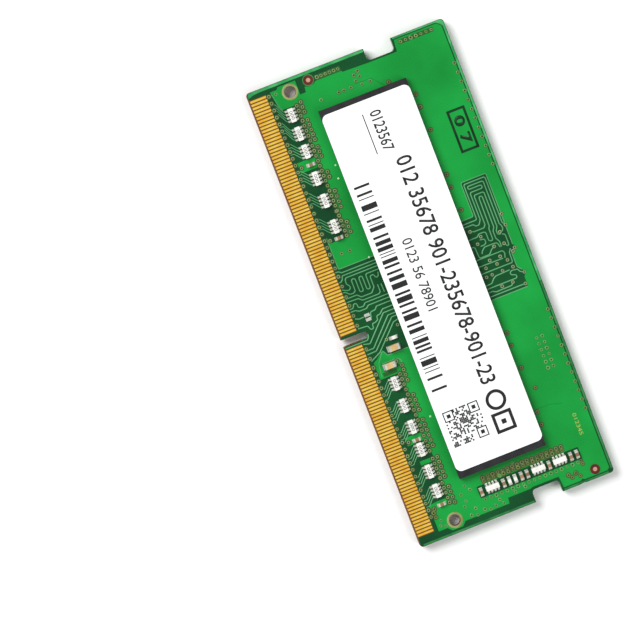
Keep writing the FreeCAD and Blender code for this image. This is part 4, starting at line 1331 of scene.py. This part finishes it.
wideTrace = [(29.95, 15.0), (29.9, 14.5), (29.15, 13.5), (29.15, 12.9), (29.6, 12.2), (29.6, 10.0),
             (28.65, 9.0), (28.6, 8.1), (27.5, 6.9), (27.4, 6.2), (26.1, 4.9), (25.8, 4.6), (25.8, 3.8),
             (25.4, 3.3), (25.4, 2.9)]
drawTraces("backWideTraces", [wideTrace], True, maskMaterials["backTrace"], width=0.27, rise=0.035,
           corner=0.3)
drawTraces("backArrayTraces",
           arrayTraces(backStations, arrayFan["backHeights"], arrayFan["backReach"], arrayFan["backReach"]),
           True, maskMaterials["backTrace"], width=0.13, rise=0.03, corner=0.1)
# The pale lines below, along the pour's edges and the top edge, are a painted highlight where those edges
# catch the light.
edgeHighlightMask = maskMaterial("backRim", (tone(74, 188, 96), tone(124, 206, 124)), 0.2)
backRims = [
    backPour["outline"][11:33],  # the pour's edge along the trace field
    [(40.35, 28.2), (40.9, 28.2), (41.0, 27.6), (41.0, 22.1), (41.6, 21.3), (41.6, 3.05), (46.9, 3.05)],
    [(0.4, 29.5), (69.0, 29.5)],
    [(56.1, 6.2), (56.0, 4.0), (57.0, 3.4), (57.7, 3.5), (57.85, 6.2)],
    [(65.75, 6.0), (65.75, 4.5), (67.0, 3.9), (67.9, 2.95)],
]
drawTraces("backRims", backRims, True, edgeHighlightMask, width=0.14, rise=0.032)
hairlines = [
    [(42.8, 14.4), (42.8, 3.65), (46.9, 3.6)],
    [(43.4, 6.2), (43.3, 7.0), (43.9, 7.3), (46.0, 7.2)],
    [(65.4, 14.1), (65.4, 7.0)],
    [(9.4, 14.0), (10.2, 14.4), (10.9, 15.1), (13.0, 15.3)],
    [(17.0, 15.6), (19.6, 15.6), (19.8, 15.1), (24.8, 15.1), (26.9, 15.6), (29.5, 15.6)],
    [(42.0, 15.1), (44.8, 15.1), (46.6, 15.3), (49.4, 15.2), (51.0, 15.7), (55.2, 15.6)],
    [(57.8, 15.1), (62.8, 15.1)],
]
drawTraces("backHairlines", hairlines, True, maskMaterials["backLaminate"], width=0.2, rise=0.026)


backPrint = {
    "bars": {"count": 9, "start": 13.95, "pitch": 0.43, "width": 0.18, "left": 0.3, "right": 1.2,
             "shorter": 0.25},
    "digits": (("012", 0.3, 0.78, 0.95, 2.4), ("7", 68.85, 69.25, 1.2, 1.9),
               ("012", 67.8, 68.5, 14.8, 17.6), ("345", 68.7, 69.4, 14.8, 17.6)),
}


def buildBackPrint():
    look = backPrint["bars"]
    marks = []
    for step in range(look["count"]):
        low = look["start"] + look["pitch"] * step
        right = look["right"] - look["shorter"] * (step % 3 == 1)
        marks.append(barMesh(look["left"], right, low, low + look["width"], backFace, True))
    marks += [textMesh(*digits, backFace, True, turned=True) for digits in backPrint["digits"]]
    keepPiece("backMarks", joinMeshes("backMarks", marks), finishes["khakiInk"])


buildBackPrint()
print("back face finished")

# Floor, lights and camera

studio = {
    "floorSize": 3.0,
    "floorTone": (tone(250, 250, 250), tone(253, 253, 253)),
    "key": {"place": (-0.75, -0.55, 0.85), "size": 0.8, "power": 16.0},
    "fill": {"place": (0.7, 0.75, 0.8), "size": 1.0, "power": 6.0},
    "worldStrength": 0.4,
    "lens": 190,
    "sensor": 36,
    "clip": (0.01, 10),
    "cameraPlace": (-0.0494, -0.0398, 0.4797),
    "cameraAim": (-0.0011, -0.0167, 0.0017),
    "cameraUp": (-0.92785, 0.36511, -0.07609),
}


def buildStage():
    half = studio["floorSize"] / 2
    low = cadBox[0].z
    mesh = bpy.data.meshes.new("studioFloor")
    mesh.from_pydata([(x, y, low) for x, y in boxOutline(-half, half, -half, half)], [], [(0, 1, 2, 3)])
    floor = linkObject("studioFloor", mesh)
    material, tree, shader = newMaterial("paleFloor", 0.7)
    cloud = cloudNode(tree, 4, 300)
    tree.links.new(mixColour(tree, cloud.outputs["Patch"], *studio["floorTone"]), shader.inputs["Base Color"])
    mesh.materials.append(material)


def aimAt(thing, spot, target, up):
    back = (Vector(spot) - Vector(target)).normalized()
    right = Vector(up).cross(back).normalized()
    top = back.cross(right)
    turn = Matrix((right, top, back)).transposed().to_4x4()
    thing.matrix_world = Matrix.Translation(spot) @ turn


def addLight(name, look):
    lamp = bpy.data.lights.new(name, "AREA")
    lamp.shape = "DISK"
    lamp.size = look["size"]
    lamp.energy = look["power"]
    aimAt(linkObject(name, lamp), look["place"], (0, 0, 0), (0, 1, 0.1))


buildStage()
addLight("keyLight", studio["key"])
addLight("fillLight", studio["fill"])
world = bpy.data.worlds.new("softWhite")
world.use_nodes = True
background = world.node_tree.nodes["Background"]
background.inputs["Color"].default_value = (1, 1, 1, 1)
background.inputs["Strength"].default_value = studio["worldStrength"]
bpy.context.scene.world = world

lens = bpy.data.cameras.new("studioCamera")
lens.lens = studio["lens"]
lens.sensor_width = studio["sensor"]
lens.clip_start, lens.clip_end = studio["clip"]
camera = linkObject("studioCamera", lens)
aimAt(camera, studio["cameraPlace"], studio["cameraAim"], studio["cameraUp"])
bpy.context.scene.camera = camera
bpy.context.scene.view_settings.view_transform = "Standard"
print("stage, lights and camera set")
